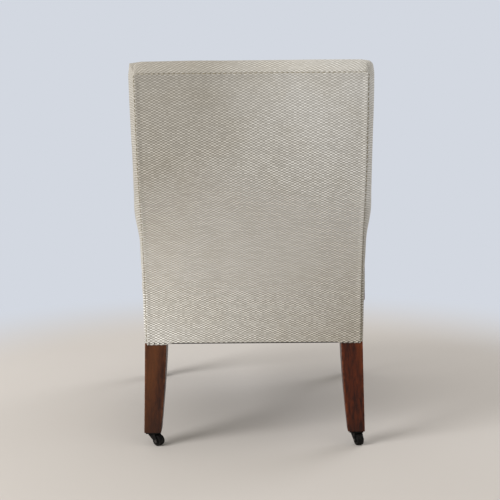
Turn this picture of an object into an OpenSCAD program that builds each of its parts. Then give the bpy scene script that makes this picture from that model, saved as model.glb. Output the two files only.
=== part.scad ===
// Open-arm chair: a stuffed-over seat and back on a beech and mahogany frame,
// with open padded arms, swept rear legs and four small iron castors.
// Millimetres. +X is the sitter's left, -Y is the front, Z = 0 is the floor,
// and the origin lies under the middle of the chair.

/* [Overall] */
// Height from the floor to the crown of the back
chair_h = 943; // [920:1:970]
// Depth from the front of the seat to the top of the back
chair_d = 728; // [700:1:760]
// Height of the crown of the seat above the floor
seat_h = 442; // [430:1:455]

/* [Rear legs and uprights] */
// Half the width over the rear legs
rear_half_w = 271; // [255:1:285]
// Width of a rear leg at the seat rails
leg_w = 54; // [50:1:58]
// Width of a rear leg at its foot
foot_w = 42; // [38:1:46]
// How far the outer face of a rear leg leans out from the seat rails to the foot
foot_out = 3; // [0:0.5:5]
// Depth of a rear leg at the seat rails
joint_t = 60; // [56:1:64]
// Depth of a rear leg at its foot
foot_t = 38; // [36:1:42]
// Depth of an upright at the waist
waist_t = 45; // [40:1:48]
// Depth of an upright at its top
upright_top_t = 30; // [26:1:34]
// Width of an upright at its top
upright_top_w = 45; // [40:1:50]
// Height of the waist, where the uprights lie furthest forward
waist_z = 510; // [500:1:520]
// How far the foot sweeps back from the waist
foot_sweep = 62; // [50:1:72]
// How far the top of the back leans back from the waist
back_rake = 98; // [85:1:110]

/* [Front legs] */
// Half the width over the front legs
front_half_w = 315; // [305:1:325]
// Width and depth of a front leg at the seat rails
front_leg_w = 50; // [46:1:54]
// Width and depth of a front leg at its foot
front_foot_w = 38; // [36:1:42]

/* [Rails] */
// Height of the underside of the seat rails above the floor
rail_z = 258; // [246:1:266]
// Height of a seat rail
rail_h = 66; // [60:1:72]
// Thickness of a seat rail
rail_t = 28; // [24:1:30]
// Height of the top rail of the back
top_rail_h = 42; // [36:1:50]
// Height of the lower rail of the back
lower_rail_h = 36; // [30:1:40]
// Height of the underside of the lower rail of the back above the seat rails
lower_rail_gap = 70; // [64:1:78]
// Length of a tenon
tenon_l = 26; // [20:1:30]
// Thickness of a tenon
tenon_t = 10; // [8:1:12]
// Distance from the edge of a rail to its tenon
tenon_shoulder = 9; // [6:1:12]
// Clearance round a tenon, dowel or screw
fit = 0.2; // [0.1:0.05:0.3]
// Length of a corner block along each rail
block_l = 52; // [44:1:60]
// Height of a corner block
block_h = 46; // [36:1:54]

/* [Back upholstery] */
// Height of the top seam of the outside back below the crown
top_roll = 31; // [26:1:36]
// How far the outside back stands out beyond a rear leg at the waist
panel_out = 3; // [2:0.5:5]
// How much narrower each side of the outside back is at the top
panel_top_in = 5; // [3:0.5:8]
// How much narrower each side of the outside back is at the bottom
panel_low_in = 3; // [1:0.5:4]
// How far the side border stands out beyond the outside back at the seat rails
border_low = 3; // [2.5:0.5:4]
// How far the side border stands out beyond the outside back at the waist
border_high = 5; // [4:0.5:6]
// How much further the padded edge stands out above the arms
side_roll = 14; // [10:0.5:16]
// Radius of the padded edge round the inside back
back_roll_r = 32; // [27:1:37]
// Swell of the middle of the inside back
back_crown = 22; // [14:1:28]
// Share of the hollow of the uprights that the outside back bridges
saddle_share = 0.45; // [0.3:0.05:0.6]

/* [Seat upholstery] */
// Radius of the padded edge round the seat
seat_roll_r = 34; // [29:1:40]
// Swell of the middle of the seat
seat_crown = 24; // [16:1:30]
// How far the padded edge of the seat stands out beyond the frame
seat_swell = 12; // [9:1:13]
// Height of the springs above the rails
spring_rise = 51; // [44:1:56]

/* [Arms] */
// Height of the top of an arm, without its pad
arm_h = 600; // [585:1:615]
// Height of the underside of an arm at the upright
arm_root_z = 512; // [505:1:520]
// Depth of an arm at the upright, measured upwards
arm_root_t = 40; // [36:1:44]
// Thickness of an arm under its pad
arm_t = 30; // [26:1:34]
// Width of an arm at the upright
arm_root_w = 38; // [34:1:42]
// Width of an arm under its pad
arm_w = 46; // [42:1:50]
// How far the outer face of an arm stands out beyond the rear leg
arm_root_out = 12; // [11:1:16]
// How far the outer face of an arm stands out beyond the front leg
arm_front_out = 18; // [15:1:22]
// Distance from the front of the seat to the front of an arm
arm_setback = 122; // [110:1:140]
// Length of an arm pad
arm_pad_l = 232; // [210:1:250]
// Height of an arm pad
arm_pad_h = 30; // [24:1:36]
// Thickness of an arm support across the chair
support_w = 17; // [16:1:20]
// How far the top of an arm support sweeps forward of its foot
support_sweep = 46; // [36:1:56]

/* [Castors] */
// Height of a castor, from the floor to the foot of the leg
castor_h = 34; // [33.5:0.5:37]
// Radius of a castor wheel
wheel_r = 13; // [11.5:0.5:13]
// Width of a castor wheel
wheel_w = 17; // [14:0.5:18]
// Distance from the swivel pin to the axle
trail = 17; // [15:0.5:19]
// Radius of the axle
axle_r = 2.4; // [2:0.1:2.8]
// Thickness of the plate under the leg
plate_t = 3; // [2.5:0.1:3.2]
// Side of the square plate under the leg
plate_w = 34; // [31:0.5:36]
// Thickness of the cheeks and crown of the horn
horn_t = 2.5; // [2:0.1:2.7]

/* [Cloth] */
// Thickness of the covers
cloth_t = 2; // [1.5:0.1:2.5]
// Thickness of the hessian
hessian_t = 1; // [0.8:0.1:1.4]
// Thickness of a webbing strap
strap_t = 1.2; // [1:0.1:1.5]
// Width of a webbing strap
strap_w = 50; // [44:1:54]
// Clearance between a soft piece and what it lies on
soft_gap = 0.3; // [0.2:0.05:0.4]
// Wire radius of a seat spring
wire_r = 1.9; // [1.6:0.1:2.2]

/* [Hidden] */

$fn = 48;
mahogany = "#4a2c20";
beech = "#c9a777";
cover_cloth = "#b3ada0";
hessian_colour = "#a88f62";
stuffing = "#8a8172";
iron = "#26231f";
steel = "#8d8f90";

eps = 0.01;
rail_top = rail_z + rail_h;
seam_z = chair_h - top_roll;
upright_top = seam_z - 9;
panel_half_w = rear_half_w + panel_out;
arm_root_x = rear_half_w + arm_root_out;
arm_front_x = front_half_w + arm_front_out;
back_corner = 4;
front_face = -chair_d / 2 + seat_swell;
front_leg_back = front_face + front_leg_w;
front_in = front_half_w - front_leg_w;
waist_y = chair_d / 2 - back_rake - cloth_t - soft_gap;
cover_z = rail_z - 2 * strap_t - 1.6;
hem_swell = cloth_t + 1.5;

function mix(a, b, t) = a + (b - a) * t;
function limit(t) = min(1, max(0, t));
function ease(t) = let (c = limit(t)) c * c * (3 - 2 * c);
function span(a, b, n) = [for (i = [0 : n]) mix(a, b, i / n)];
function back_to_front(list) = [for (i = [len(list) - 1 : -1 : 0]) list[i]];

// Rear face of an upright at height z: swept to the foot below the waist, raked above it
function rear_y(z) = z < waist_z
    ? waist_y + foot_sweep * pow((waist_z - z) / (waist_z - castor_h), 1.6)
    : waist_y + back_rake * pow((z - waist_z) / (seam_z - waist_z), 1.35);

joint_y = rear_y(rail_z) - joint_t;
rail_back_y = rear_y(rail_top);

// Front face of an upright, flat where the side rail meets it
function front_y(z) =
    z < rail_z ? rear_y(z) - mix(foot_t, joint_t, ease((z - castor_h) / (rail_z - castor_h)))
    : z < rail_top ? joint_y
    : z < waist_z ? mix(joint_y, waist_y - waist_t, ease((z - rail_top) / (waist_z - rail_top)))
    : rear_y(z) - mix(waist_t, upright_top_t, (z - waist_z) / (upright_top - waist_z));

// Half the width of the outside back at height z
function panel_half(z) = z < waist_z
    ? panel_half_w - panel_low_in * pow((waist_z - z) / (waist_z - rail_z), 2)
    : panel_half_w - panel_top_in * pow((z - waist_z) / (seam_z - waist_z), 2);

// Half the width over the padded sides of the back at height z
function flank_half(z) = panel_half(z)
    + mix(border_low, border_high, limit((z - rail_z) / (waist_z - rail_z)))
    + side_roll * ease((z - waist_z + 15) / 100);

// Outer and inner faces of a rear leg at height z. Its outer face eases in under the cloth
// above the seat rails, and in the rounded corner at the top.
function leg_out(z) = z < rail_z
    ? rear_half_w + foot_out * (rail_z - z) / (rail_z - castor_h)
    : mix(rear_half_w, panel_half(z) - cloth_t - 2 * soft_gap, ease((z - rail_z) / rail_h))
        - back_corner * ease((z - upright_top + 40) / 40);
function leg_in(z) = z < rail_z
    ? leg_out(z) - leg_w + (leg_w - foot_w) * pow((rail_z - z) / (rail_z - castor_h), 1.6)
    : mix(rear_half_w - leg_w, leg_out(upright_top) - upright_top_w, limit((z - rail_top) / (upright_top - rail_top)));

leg_zs = concat(span(castor_h, rail_z, 8), span(rail_top, waist_z, 7),
    [for (i = [1 : 12]) mix(waist_z, upright_top, i / 12)]);

// Outer face of a side rail, which runs straight between the legs
function rail_x(y) = mix(front_half_w, rear_half_w, (y - front_leg_back) / (joint_y - front_leg_back));

module along_x(x0, x1) {
    translate([x0, 0, 0]) rotate([90, 0, 90]) linear_extrude(x1 - x0) children();
}

module along_y(y0, y1) {
    translate([0, y1, 0]) rotate([90, 0, 0]) linear_extrude(y1 - y0) children();
}

module box(low, high) {
    translate(low) cube(high - low);
}

module both_sides() {
    children();
    mirror([1, 0, 0]) children();
}

// Band between the front and rear faces of an upright, moved in by the two insets
module upright_band(zs, front_in, rear_in) {
    polygon(concat(
        [for (z = zs) [rear_y(z) - rear_in, z]],
        [for (z = back_to_front(zs)) [front_y(z) + front_in, z]]
    ));
}

// Layer in front of the back frame, from one distance forward of it to another
module front_layer(zs, near, far) {
    polygon(concat(
        [for (z = zs) [front_y(z) - near, z]],
        [for (z = back_to_front(zs)) [front_y(z) - far, z]]
    ));
}

// Straight wood screw along +Z from the underside of its head
module screw(length, r, head_r, head_t, gap = 0) {
    translate([0, 0, -eps]) cylinder(r = r + gap, h = length + gap + eps);
    translate([0, 0, -head_t - gap]) cylinder(r = head_r + gap, h = head_t + gap);
}

lower_rail_z = rail_top + lower_rail_gap;
top_rail_zs = span(upright_top - top_rail_h, upright_top, 2);
lower_rail_zs = span(lower_rail_z, lower_rail_z + lower_rail_h, 2);
top_tenon_zs = span(upright_top - top_rail_h + tenon_shoulder, upright_top - tenon_shoulder, 2);
lower_tenon_zs = span(lower_rail_z + tenon_shoulder, lower_rail_z + lower_rail_h - tenon_shoulder, 2);
back_tenon_in = (upright_top_t - tenon_t) / 2;

// Tenons of the seat rails, as boxes grown by the clearance
module side_tenons(gap) {
    for (end = [[front_leg_back, front_half_w, -1], [joint_y, rear_half_w, 1]]) {
        x = end[1] - rail_t / 2;
        y0 = end[2] < 0 ? end[0] - tenon_l - gap : end[0] - eps;
        y1 = end[2] < 0 ? end[0] + eps : end[0] + tenon_l + gap;
        box([x - tenon_t / 2 - gap, y0, rail_z + tenon_shoulder - gap],
            [x + tenon_t / 2 + gap, y1, rail_top - tenon_shoulder + gap]);
    }
}

front_tenon_y = front_face + tenon_shoulder;

module front_tenon(gap) {
    box([front_in - eps, front_tenon_y - gap, rail_z + tenon_shoulder - gap],
        [front_in + tenon_l + gap, front_tenon_y + tenon_t + gap, rail_top - tenon_shoulder + gap]);
}

rear_tenon_y = rail_back_y - tenon_shoulder - tenon_t;

module rear_tenon(gap) {
    box([rear_half_w - leg_w - eps, rear_tenon_y - gap, rail_z + tenon_shoulder - gap],
        [rear_half_w - leg_w + tenon_l + gap, rear_tenon_y + tenon_t + gap,
            rail_top - tenon_shoulder + gap]);
}

module back_tenon(zs, gap) {
    z_mid = (zs[0] + zs[len(zs) - 1]) / 2;
    grown = span(zs[0] - gap, zs[len(zs) - 1] + gap, 2);
    along_x(leg_in(z_mid) - 4, leg_in(z_mid) + tenon_l + gap)
        polygon(concat(
            [for (z = grown) [front_y(z) + back_tenon_in + tenon_t + gap, z]],
            [for (z = back_to_front(grown)) [front_y(z) + back_tenon_in - gap, z]]
        ));
}

rear_foot = [leg_out(castor_h) - foot_w / 2, rear_y(castor_h) - foot_t / 2];
front_foot = [front_half_w - front_foot_w / 2, front_face + front_foot_w / 2];
plate_screw_spot = plate_w / 2 - 5;
plate_screw_r = 1.4;
plate_screw_l = 11;
plate_screw_head = 2.6;

// The four screws that hold a castor's plate to the foot at the given place
module plate_screws(foot, gap = 0) {
    for (dx = [-1, 1]) for (dy = [-1, 1])
        translate([foot[0] + dx * plate_screw_spot, foot[1] + dy * plate_screw_spot, castor_h - plate_t]) {
            cylinder(r = plate_screw_r + gap, h = plate_t + plate_screw_l);
            cylinder(r1 = plate_screw_head + gap, r2 = plate_screw_r + gap,
                h = plate_screw_head - plate_screw_r);
        }
}

arm_screw_z = arm_root_z + arm_root_t / 2;
arm_screw_x = arm_root_x - arm_root_w + 14;
arm_screw_r = 2.4;
arm_screw_head = 5;
support_screw_r = 2.2;
support_screw_l = rail_t - 4 + support_w * 0.6;
support_screw_zs = [rail_z + rail_h * 0.35, rail_z + rail_h * 0.75];

module arm_screw(gap = 0) {
    translate([arm_screw_x, rear_y(arm_screw_z) - 6, arm_screw_z])
        rotate([90, 0, 0]) screw(waist_t + 22, arm_screw_r, arm_screw_head, 3, gap);
}

module support_screws(gap = 0) {
    for (z = support_screw_zs)
        translate([rail_x(support_y(z)) - rail_t + 4, support_y(z), z])
            rotate([0, 90, 0]) screw(support_screw_l, support_screw_r, 4.4, 2.6, gap);
}

module rear_leg() {
    color(mahogany) difference() {
        intersection() {
            along_x(rear_half_w / 2, panel_half_w + side_roll) upright_band(leg_zs, 0, 0);
            along_y(0, chair_d / 2 + back_rake) polygon(concat(
                [for (z = leg_zs) [leg_in(z), z]],
                [for (z = back_to_front(leg_zs)) [leg_out(z), z]]
            ));
        }
        side_tenons(fit);
        rear_tenon(fit);
        back_tenon(top_tenon_zs, fit);
        back_tenon(lower_tenon_zs, fit);
        arm_screw(fit / 2);
        translate([arm_screw_x, rear_y(arm_screw_z) + 20, arm_screw_z])
            rotate([90, 0, 0]) cylinder(r = arm_screw_head + fit / 2, h = 26);
        plate_screws(rear_foot, fit / 2);
    }
}

module front_leg() {
    taper = front_leg_w - front_foot_w;
    color(mahogany) difference() {
        intersection() {
            along_x(0, front_half_w) polygon([
                [front_face, castor_h],
                [front_leg_back - taper, castor_h],
                [front_leg_back, rail_z],
                [front_leg_back, rail_top],
                [front_face, rail_top]
            ]);
            along_y(front_face, front_leg_back) polygon([
                [front_half_w, castor_h],
                [front_in + taper, castor_h],
                [front_in, rail_z],
                [front_in, rail_top],
                [front_half_w, rail_top]
            ]);
        }
        side_tenons(fit);
        front_tenon(fit);
        plate_screws(front_foot, fit / 2);
    }
}

module front_rail() {
    color(beech) difference() {
        union() {
            box([-front_in, front_face, rail_z], [front_in, front_face + rail_t, rail_top]);
            both_sides() front_tenon(0);
        }
        both_sides() block_screws(fit / 2);
    }
}

module rear_rail() {
    rear_in = rear_half_w - leg_w;
    color(beech) difference() {
        union() {
            along_x(-rear_in, rear_in) polygon([
                [rail_back_y - rail_t, rail_z],
                [rear_y(rail_z), rail_z],
                [rail_back_y, rail_top],
                [rail_back_y - rail_t, rail_top]
            ]);
            both_sides() rear_tenon(0);
        }
        both_sides() block_screws(fit / 2);
    }
}

module side_rail() {
    color(beech) difference() {
        union() {
            translate([0, 0, rail_z]) linear_extrude(rail_h) polygon([
                [front_half_w, front_leg_back],
                [rear_half_w, joint_y],
                [rear_half_w - rail_t, joint_y],
                [front_half_w - rail_t, front_leg_back]
            ]);
            side_tenons(0);
        }
        support_screws(fit / 2);
        block_screws(fit / 2);
    }
}

module back_rail(zs, tenon_zs) {
    z_low = zs[0];
    z_high = zs[len(zs) - 1];
    color(beech) union() {
        intersection() {
            along_x(-rear_half_w, rear_half_w) upright_band(zs, 0, front_gap_of(zs));
            along_y(0, chair_d) polygon([
                [-leg_in(z_low), z_low],
                [leg_in(z_low), z_low],
                [leg_in(z_high), z_high],
                [-leg_in(z_high), z_high]
            ]);
        }
        both_sides() back_tenon(tenon_zs, 0);
    }
}

// The lower rail is thinner than the uprights, so it stays clear of the outside back
function front_gap_of(zs) = zs[0] < waist_z ? waist_t - rail_t : 0;

block_z = rail_top - block_h - 8;
block_screw_r = 2;
block_screw_l = 34;
block_screw_head = 4;

// Inner faces of the frame at a corner block: [face of the cross rail, face of the leg, side]
front_block_y = front_face + rail_t;
rear_block_y = rail_back_y - rail_t;

function side_in(y) = rail_x(y) - rail_t;

module corner_block(front) {
    rail_y = front ? front_block_y : rear_block_y;
    leg_y = front ? front_leg_back : joint_y;
    leg_x = front ? front_in : rear_half_w - leg_w;
    far_y = front ? leg_y + block_l : leg_y - block_l;
    translate([0, 0, block_z]) linear_extrude(block_h) polygon([
        [leg_x - block_l, rail_y],
        [leg_x, rail_y],
        [leg_x, leg_y],
        [side_in(leg_y), leg_y],
        [side_in(far_y), far_y]
    ]);
}

// One screw into the cross rail and one into the side rail for each corner block
module block_screws(gap = 0) {
    for (front = [true, false]) {
        rail_y = front ? front_block_y : rear_block_y;
        leg_x = front ? front_in : rear_half_w - leg_w;
        leg_y = front ? front_leg_back : joint_y;
        far_y = front ? leg_y + block_l * 0.6 : leg_y - block_l * 0.6;
        turn = front ? 90 : -90;
        depth = 16;
        translate([leg_x - block_l * 0.45, front ? rail_y + depth : rail_y - depth, block_z + block_h * 0.35])
            rotate([turn, 0, 0]) screw(block_screw_l, block_screw_r, block_screw_head, 12, gap);
        translate([side_in(far_y) - depth, far_y, block_z + block_h * 0.7])
            rotate([0, 90, 0]) screw(block_screw_l, block_screw_r, block_screw_head, 12, gap);
    }
}

module corner_blocks() {
    color(beech) both_sides() difference() {
        union() {
            corner_block(true);
            corner_block(false);
        }
        block_screws(fit / 2);
    }
}

module corner_block_screws() {
    color(steel) both_sides() block_screws();
}

arm_front_y = front_face - seat_swell + arm_setback;
arm_rise_y = arm_front_y + arm_pad_l + 44;
arm_end_r = arm_t / 2;

// How far along the arm a point is, from 0 at the upright to 1 where the pad starts
function arm_reach(y) = (waist_y - waist_t - y) / (waist_y - waist_t - arm_rise_y);
function arm_top_z(y) = mix(arm_root_z + arm_root_t, arm_h, ease(arm_reach(y)));
function arm_low_z(y) = mix(arm_root_z, arm_h - arm_t, ease(arm_reach(y)));

// Outer face of an arm in plan, splayed evenly from the upright to the rounded front end
function arm_outer(y) = mix(arm_root_x, arm_front_x,
    limit((waist_y - waist_t - y) / (waist_y - waist_t - arm_front_y - arm_w / 2)));
function arm_width(y) = mix(arm_root_w, arm_w, ease(arm_reach(y)));

arm_ys = span(waist_y - waist_t + 30, arm_rise_y - 60, 14);

// Side view and plan of an arm, grown by a clearance
module arm_side(grow) {
    polygon(concat(
        [for (y = arm_ys) [y, arm_top_z(y) + grow]],
        [[arm_front_y + arm_end_r, arm_h + grow]],
        [[arm_front_y + arm_end_r, arm_h - arm_t - grow]],
        [for (y = back_to_front(arm_ys)) [y, arm_low_z(y) - grow]]
    ));
    translate([arm_front_y + arm_end_r, arm_h - arm_end_r]) circle(r = arm_end_r + grow);
}

module arm_plan(grow) {
    r = arm_w / 2 + grow;
    mid = [arm_front_x - arm_w / 2, arm_front_y + arm_w / 2];
    polygon(concat(
        [for (y = arm_ys) [arm_outer(y) + grow, y]],
        [for (a = [0 : -10 : -180]) mid + r * [cos(a), sin(a)]],
        [for (y = back_to_front(arm_ys)) [arm_outer(y) - arm_width(y) - grow, y]]
    ));
}

module arm_body(grow = 0) {
    intersection() {
        along_x(arm_root_x - 2 * arm_w, arm_front_x + 5) arm_side(grow);
        translate([0, 0, arm_root_z - 10]) linear_extrude(arm_h - arm_root_z + 30) arm_plan(grow);
    }
}

support_foot_y = arm_front_y + support_sweep + 26;
support_foot_z = rail_z + 10;
support_top_z = arm_h - arm_t;
support_lip = 4;
support_in = 8;
dowel_r = 7;
dowel_l = 16;

// Middle of an arm support at height z, swept forward as it rises
function support_y(z) = support_foot_y - support_sweep * ease((z - rail_top + 20) / (support_top_z - rail_top + 20));
function support_depth(z) = let (t = (z - support_foot_z) / (support_top_z - support_foot_z))
    mix(36, 25, ease(t * 1.6)) + 9 * ease((t - 0.72) / 0.28);

support_zs = span(support_foot_z, support_top_z, 16);

// Outer face of a support, which ends a little inside the outer face of the arm
function support_out(z) = mix(rail_x(support_foot_y) + support_w, arm_front_x - support_in,
    ease((z - rail_top) / (support_top_z - rail_top)));

// Everything inside the outer face of a side rail, up to the top of the rail
module rail_side(gap) {
    translate([0, 0, rail_z - 5]) linear_extrude(rail_h + 5 + gap) polygon([
        [rail_x(front_leg_back) + gap, front_leg_back],
        [rail_x(joint_y) + gap, joint_y],
        [0, joint_y],
        [0, front_leg_back]
    ]);
}

module support_body(grow = 0) {
    difference() {
        intersection() {
            along_x(0, arm_front_x + 20) polygon(concat(
                [for (z = support_zs) [support_y(z) + support_depth(z) / 2 + grow, z]],
                [for (z = back_to_front(support_zs)) [support_y(z) - support_depth(z) / 2 - grow, z]]
            ));
            along_y(front_face, joint_y) polygon(concat(
                [for (z = support_zs) [support_out(z) + grow, z]],
                [for (z = back_to_front(support_zs)) [support_out(z) - support_w - support_lip - grow, z]]
            ));
        }
        rail_side(0);
    }
}

module dowel(gap) {
    x = support_out(support_top_z) - (support_w + support_lip) / 2;
    translate([x, support_y(support_top_z), support_top_z - eps])
        cylinder(r = dowel_r + gap, h = dowel_l + gap);
}

// Everything behind the front faces of the uprights
module behind_frame(gap = 0) {
    along_x(0, arm_front_x) front_layer(leg_zs, gap, -80);
}

module arm() {
    color(mahogany) difference() {
        arm_body();
        behind_frame();
        dowel(fit);
        arm_screw(fit / 2);
    }
}

module arm_support() {
    color(mahogany) difference() {
        union() {
            support_body();
            dowel(0);
        }
        support_screws(fit / 2);
    }
}

module arm_screws() {
    color(steel) both_sides() {
        arm_screw();
        support_screws();
    }
}

// Edge of a cushion as steps of [share of the flat middle, share of the roll, share of the height]
function roll_steps(step) = [for (a = [0 : step : 90]) [1, cos(a), sin(a)]];
function middle_steps(n) = [for (i = [1 : n - 1]) [1 - i / n, 0, 1]];
function mirrored(steps) = [for (s = back_to_front(steps)) [-s[0], -s[1], s[2]]];
function across(step, n) = concat(roll_steps(step), middle_steps(n), [[0, 0, 1]],
    mirrored(middle_steps(n)), mirrored(roll_steps(step)));
function lengthways(step, n) = concat(roll_steps(step), [for (i = [1 : n]) [1 - 2 * i / n, 0, 1]]);

// Walks round a grid from its open end: up one side, across row 0 and down the other side
function rim_path(rows, cols) = concat(
    [for (i = [rows - 1 : -1 : 0]) [i, 0]],
    [for (j = [1 : cols - 1]) [0, j]],
    [for (i = [1 : rows - 1]) [i, cols - 1]]
);

function flat(grid) = [for (row = grid) for (p = row) p];
function split(quads) = [for (q = quads) each [[q[0], q[1], q[2]], [q[0], q[2], q[3]]]];
function turned(quads) = [for (q = quads) [q[0], q[3], q[2], q[1]]];

// Closed skin between an outer and an inner surface. Each is a grid of points and
// the rings of a skirt that hangs from all of its edges but the last row.
module skin(outer, inner) {
    rows = len(outer[0]);
    cols = len(outer[0][0]);
    path = rim_path(rows, cols);
    rings = len(outer[1]);
    count = rows * cols + rings * len(path);
    at = function (i, j) i * cols + j;
    ring = function (k, p) k == 0 ? at(path[p][0], path[p][1]) : rows * cols + (k - 1) * len(path) + p;
    last = len(path) - 1;
    faces = concat(
        [for (i = [0 : rows - 2]) for (j = [0 : cols - 2]) [at(i, j), at(i, j + 1), at(i + 1, j + 1), at(i + 1, j)]],
        [for (k = [0 : 1 : rings - 1]) for (p = [0 : last - 1])
            [ring(k, p), ring(k + 1, p), ring(k + 1, p + 1), ring(k, p + 1)]]
    );
    edges = concat(
        [for (j = [0 : cols - 2]) [at(rows - 1, j), at(rows - 1, j + 1)]],
        [for (k = [0 : 1 : rings - 1]) [ring(k + 1, 0), ring(k, 0)]],
        [for (k = [0 : 1 : rings - 1]) [ring(k, last), ring(k + 1, last)]],
        [for (p = [0 : last - 1]) [ring(rings, p + 1), ring(rings, p)]]
    );
    polyhedron(
        points = concat(flat(outer[0]), flat(outer[1]), flat(inner[0]), flat(inner[1])),
        faces = split(concat(
            faces,
            turned([for (q = faces) [q[0] + count, q[1] + count, q[2] + count, q[3] + count]]),
            [for (e = edges) [e[0], e[1], e[1] + count, e[0] + count]]
        )),
        convexity = 10
    );
}

// Inside back: rows run from the top down to the seat, columns across
back_low_z = seat_h - 12;
back_tuck = 34;
back_pad_rim = 6;
back_pad_gap = 1;
back_base = 2 * strap_t + hessian_t + back_pad_gap + back_pad_rim;
back_rows = lengthways(22.5, 12);
back_cols = back_to_front(across(22.5, 4));
back_pad_rows = lengthways(45, 12);
back_pad_cols = back_to_front(across(45, 4));

function back_front(row, col, inset) =
    let (
        r = back_roll_r - inset,
        cut = back_corner * col[1] * row[1],
        span_z = chair_h - back_roll_r - back_low_z,
        z = back_low_z + span_z * (row[0] + 1) / 2 + r * row[1] - abs(cut),
        side = flank_half(z) - inset,
        x = (side - r) * col[0] + r * col[1] - cut,
        bow = (1 - pow(x / side, 2)) * (1 - pow(0.9 * row[0], 4))
    )
    [x, front_y(z) - back_base - r * row[2] * col[2] - back_crown * bow * row[2] * col[2], z];

// A point of the side of the back, from 0 at the padded edge to 1 at the seam behind
function back_flank(row, col, inset, t) =
    let (
        p = back_front(row, col, inset),
        z = mix(back_low_z, seam_z - inset, (p[2] - back_low_z) / (chair_h - inset - back_low_z)),
        x = p[0] * (panel_half(z) - inset) / (flank_half(p[2]) - inset)
    )
    [mix(p[0], x, pow(t, 1.7)), mix(p[1], rear_y(z) - soft_gap / 2, t), mix(p[2], z, pow(t, 1.7))];

function back_surface(rows, cols, inset, rings) = [
    [for (r = rows) [for (c = cols) back_front(r, c, inset)]],
    [for (k = [1 : 1 : rings]) [for (s = rim_path(len(rows), len(cols)))
        back_flank(rows[s[0]], cols[s[1]], inset, k / rings)]]
];

// Space that an arm takes up in front of the back frame
module arm_notch(gap) {
    difference() {
        arm_body(gap);
        behind_frame(-gap);
    }
}

module inside_back_cover() {
    flap_half = flank_half(back_low_z) - cloth_t / 4;
    flap_far = back_base + cloth_t / 2;
    color(cover_cloth) {
        difference() {
            skin(back_surface(back_rows, back_cols, 0, 3), back_surface(back_rows, back_cols, cloth_t, 3));
            both_sides() arm_notch(1);
        }
        along_x(-flap_half, flap_half)
            front_layer([back_low_z - back_tuck, back_low_z - soft_gap], flap_far - cloth_t, flap_far);
    }
}

module back_pad() {
    inset = cloth_t + soft_gap;
    front = back_surface(back_pad_rows, back_pad_cols, inset, 0);
    draw_in = 0.994;
    rear = [for (row = front[0]) [for (p = row)
        let (z = mix(back_low_z, p[2], draw_in))
        [p[0] * draw_in, front_y(z) - back_base + back_pad_rim, z]]];
    color(stuffing) difference() {
        skin(front, [rear, []]);
        both_sides() arm_notch(2);
    }
}

// Outside back: stretched between the uprights and the rails, so it bridges the hollow
panel_rows = 14;
panel_cols = 10;

function panel_y(x, z) =
    let (
        chord = mix(rear_y(cover_z), rear_y(seam_z), (z - cover_z) / (seam_z - cover_z)),
        hollow = chord - rear_y(z)
    )
    rear_y(z) + saddle_share * hollow * (1 - pow(x / panel_half(z), 2));

function panel_point(i, j, back) =
    let (
        z = mix(seam_z, cover_z, i / panel_rows),
        x = panel_half(z) * (2 * j / panel_cols - 1)
    )
    [x, panel_y(x, z) + soft_gap + back, z];

module outside_back_cover() {
    near = [for (i = [0 : panel_rows]) [for (j = [0 : panel_cols]) panel_point(i, j, 0)]];
    far = [for (i = [0 : panel_rows]) [for (j = [0 : panel_cols]) panel_point(i, j, cloth_t)]];
    color(cover_cloth) skin([near, []], [far, []]);
}

// Cloth and wadding over the outer face of a rear leg, between the seat and the outside back
module side_border() {
    zs = concat([cover_z], [for (z = leg_zs) if (z > cover_z && z < back_low_z - 1) z], [back_low_z - soft_gap]);
    tuck_z = back_low_z - back_tuck - soft_gap;
    color(cover_cloth) difference() {
        intersection() {
            along_x(rear_half_w - 5, panel_half_w + side_roll) polygon(concat(
                [for (z = zs) [rear_y(z), z]],
                [[front_y(back_low_z) - 5, back_low_z - soft_gap], [front_y(tuck_z) - 5, tuck_z]],
                [[seat_back_y + 0.5, tuck_z], [seat_back_y + 0.5, cover_z]]
            ));
            along_y(0, chair_d / 2) polygon(concat(
                [for (z = zs) [leg_out(z) + soft_gap, z]],
                [for (z = back_to_front(zs)) [flank_half(z), z]]
            ));
        }
        rail_side(soft_gap);
    }
}

web_near = soft_gap / 2;
back_frame_zs = [for (z = leg_zs) if (z > lower_rail_z + lower_rail_h / 2 && z < upright_top - 10) z];

strap_lap = 22;

module back_webbing() {
    half = leg_in(waist_z) + strap_lap;
    x_step = 2 * leg_in(waist_z) / 4.3;
    z_low = back_frame_zs[0];
    z_high = back_frame_zs[len(back_frame_zs) - 1];
    z_step = (z_high - z_low - strap_w) / 4;
    color(hessian_colour) union() {
        intersection() {
            along_x(-half, half) front_layer(back_frame_zs, web_near, web_near + strap_t);
            for (k = [0 : 4])
                box([-half, 0, z_low + k * z_step], [half, chair_d, z_low + k * z_step + strap_w]);
        }
        intersection() {
            along_x(-half, half) front_layer(back_frame_zs, web_near + strap_t, web_near + 2 * strap_t);
            for (k = [-1.5 : 1.5])
                box([k * x_step - strap_w / 2, 0, 0], [k * x_step + strap_w / 2, chair_d, chair_h]);
        }
    }
}

module back_hessian() {
    half = leg_in(waist_z) + strap_lap + 4;
    color(hessian_colour) along_x(-half, half)
        front_layer(back_frame_zs, web_near + 2 * strap_t, web_near + 2 * strap_t + hessian_t);
}

// Seat: rows run from the front to the back, columns from +X to -X
seat_back_y = front_y(seat_h) - back_base - cloth_t - 0.5;
seat_side_z = seat_h - seat_crown - seat_roll_r;
seat_corner = 6;
hem_corner = 1.2;
seat_rows = lengthways(22.5, 12);
seat_cols = across(22.5, 4);
seat_pad_rows = lengthways(45, 12);
seat_pad_cols = across(45, 4);

function seat_line(y) = y < front_leg_back ? front_half_w : rail_x(y);

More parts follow.
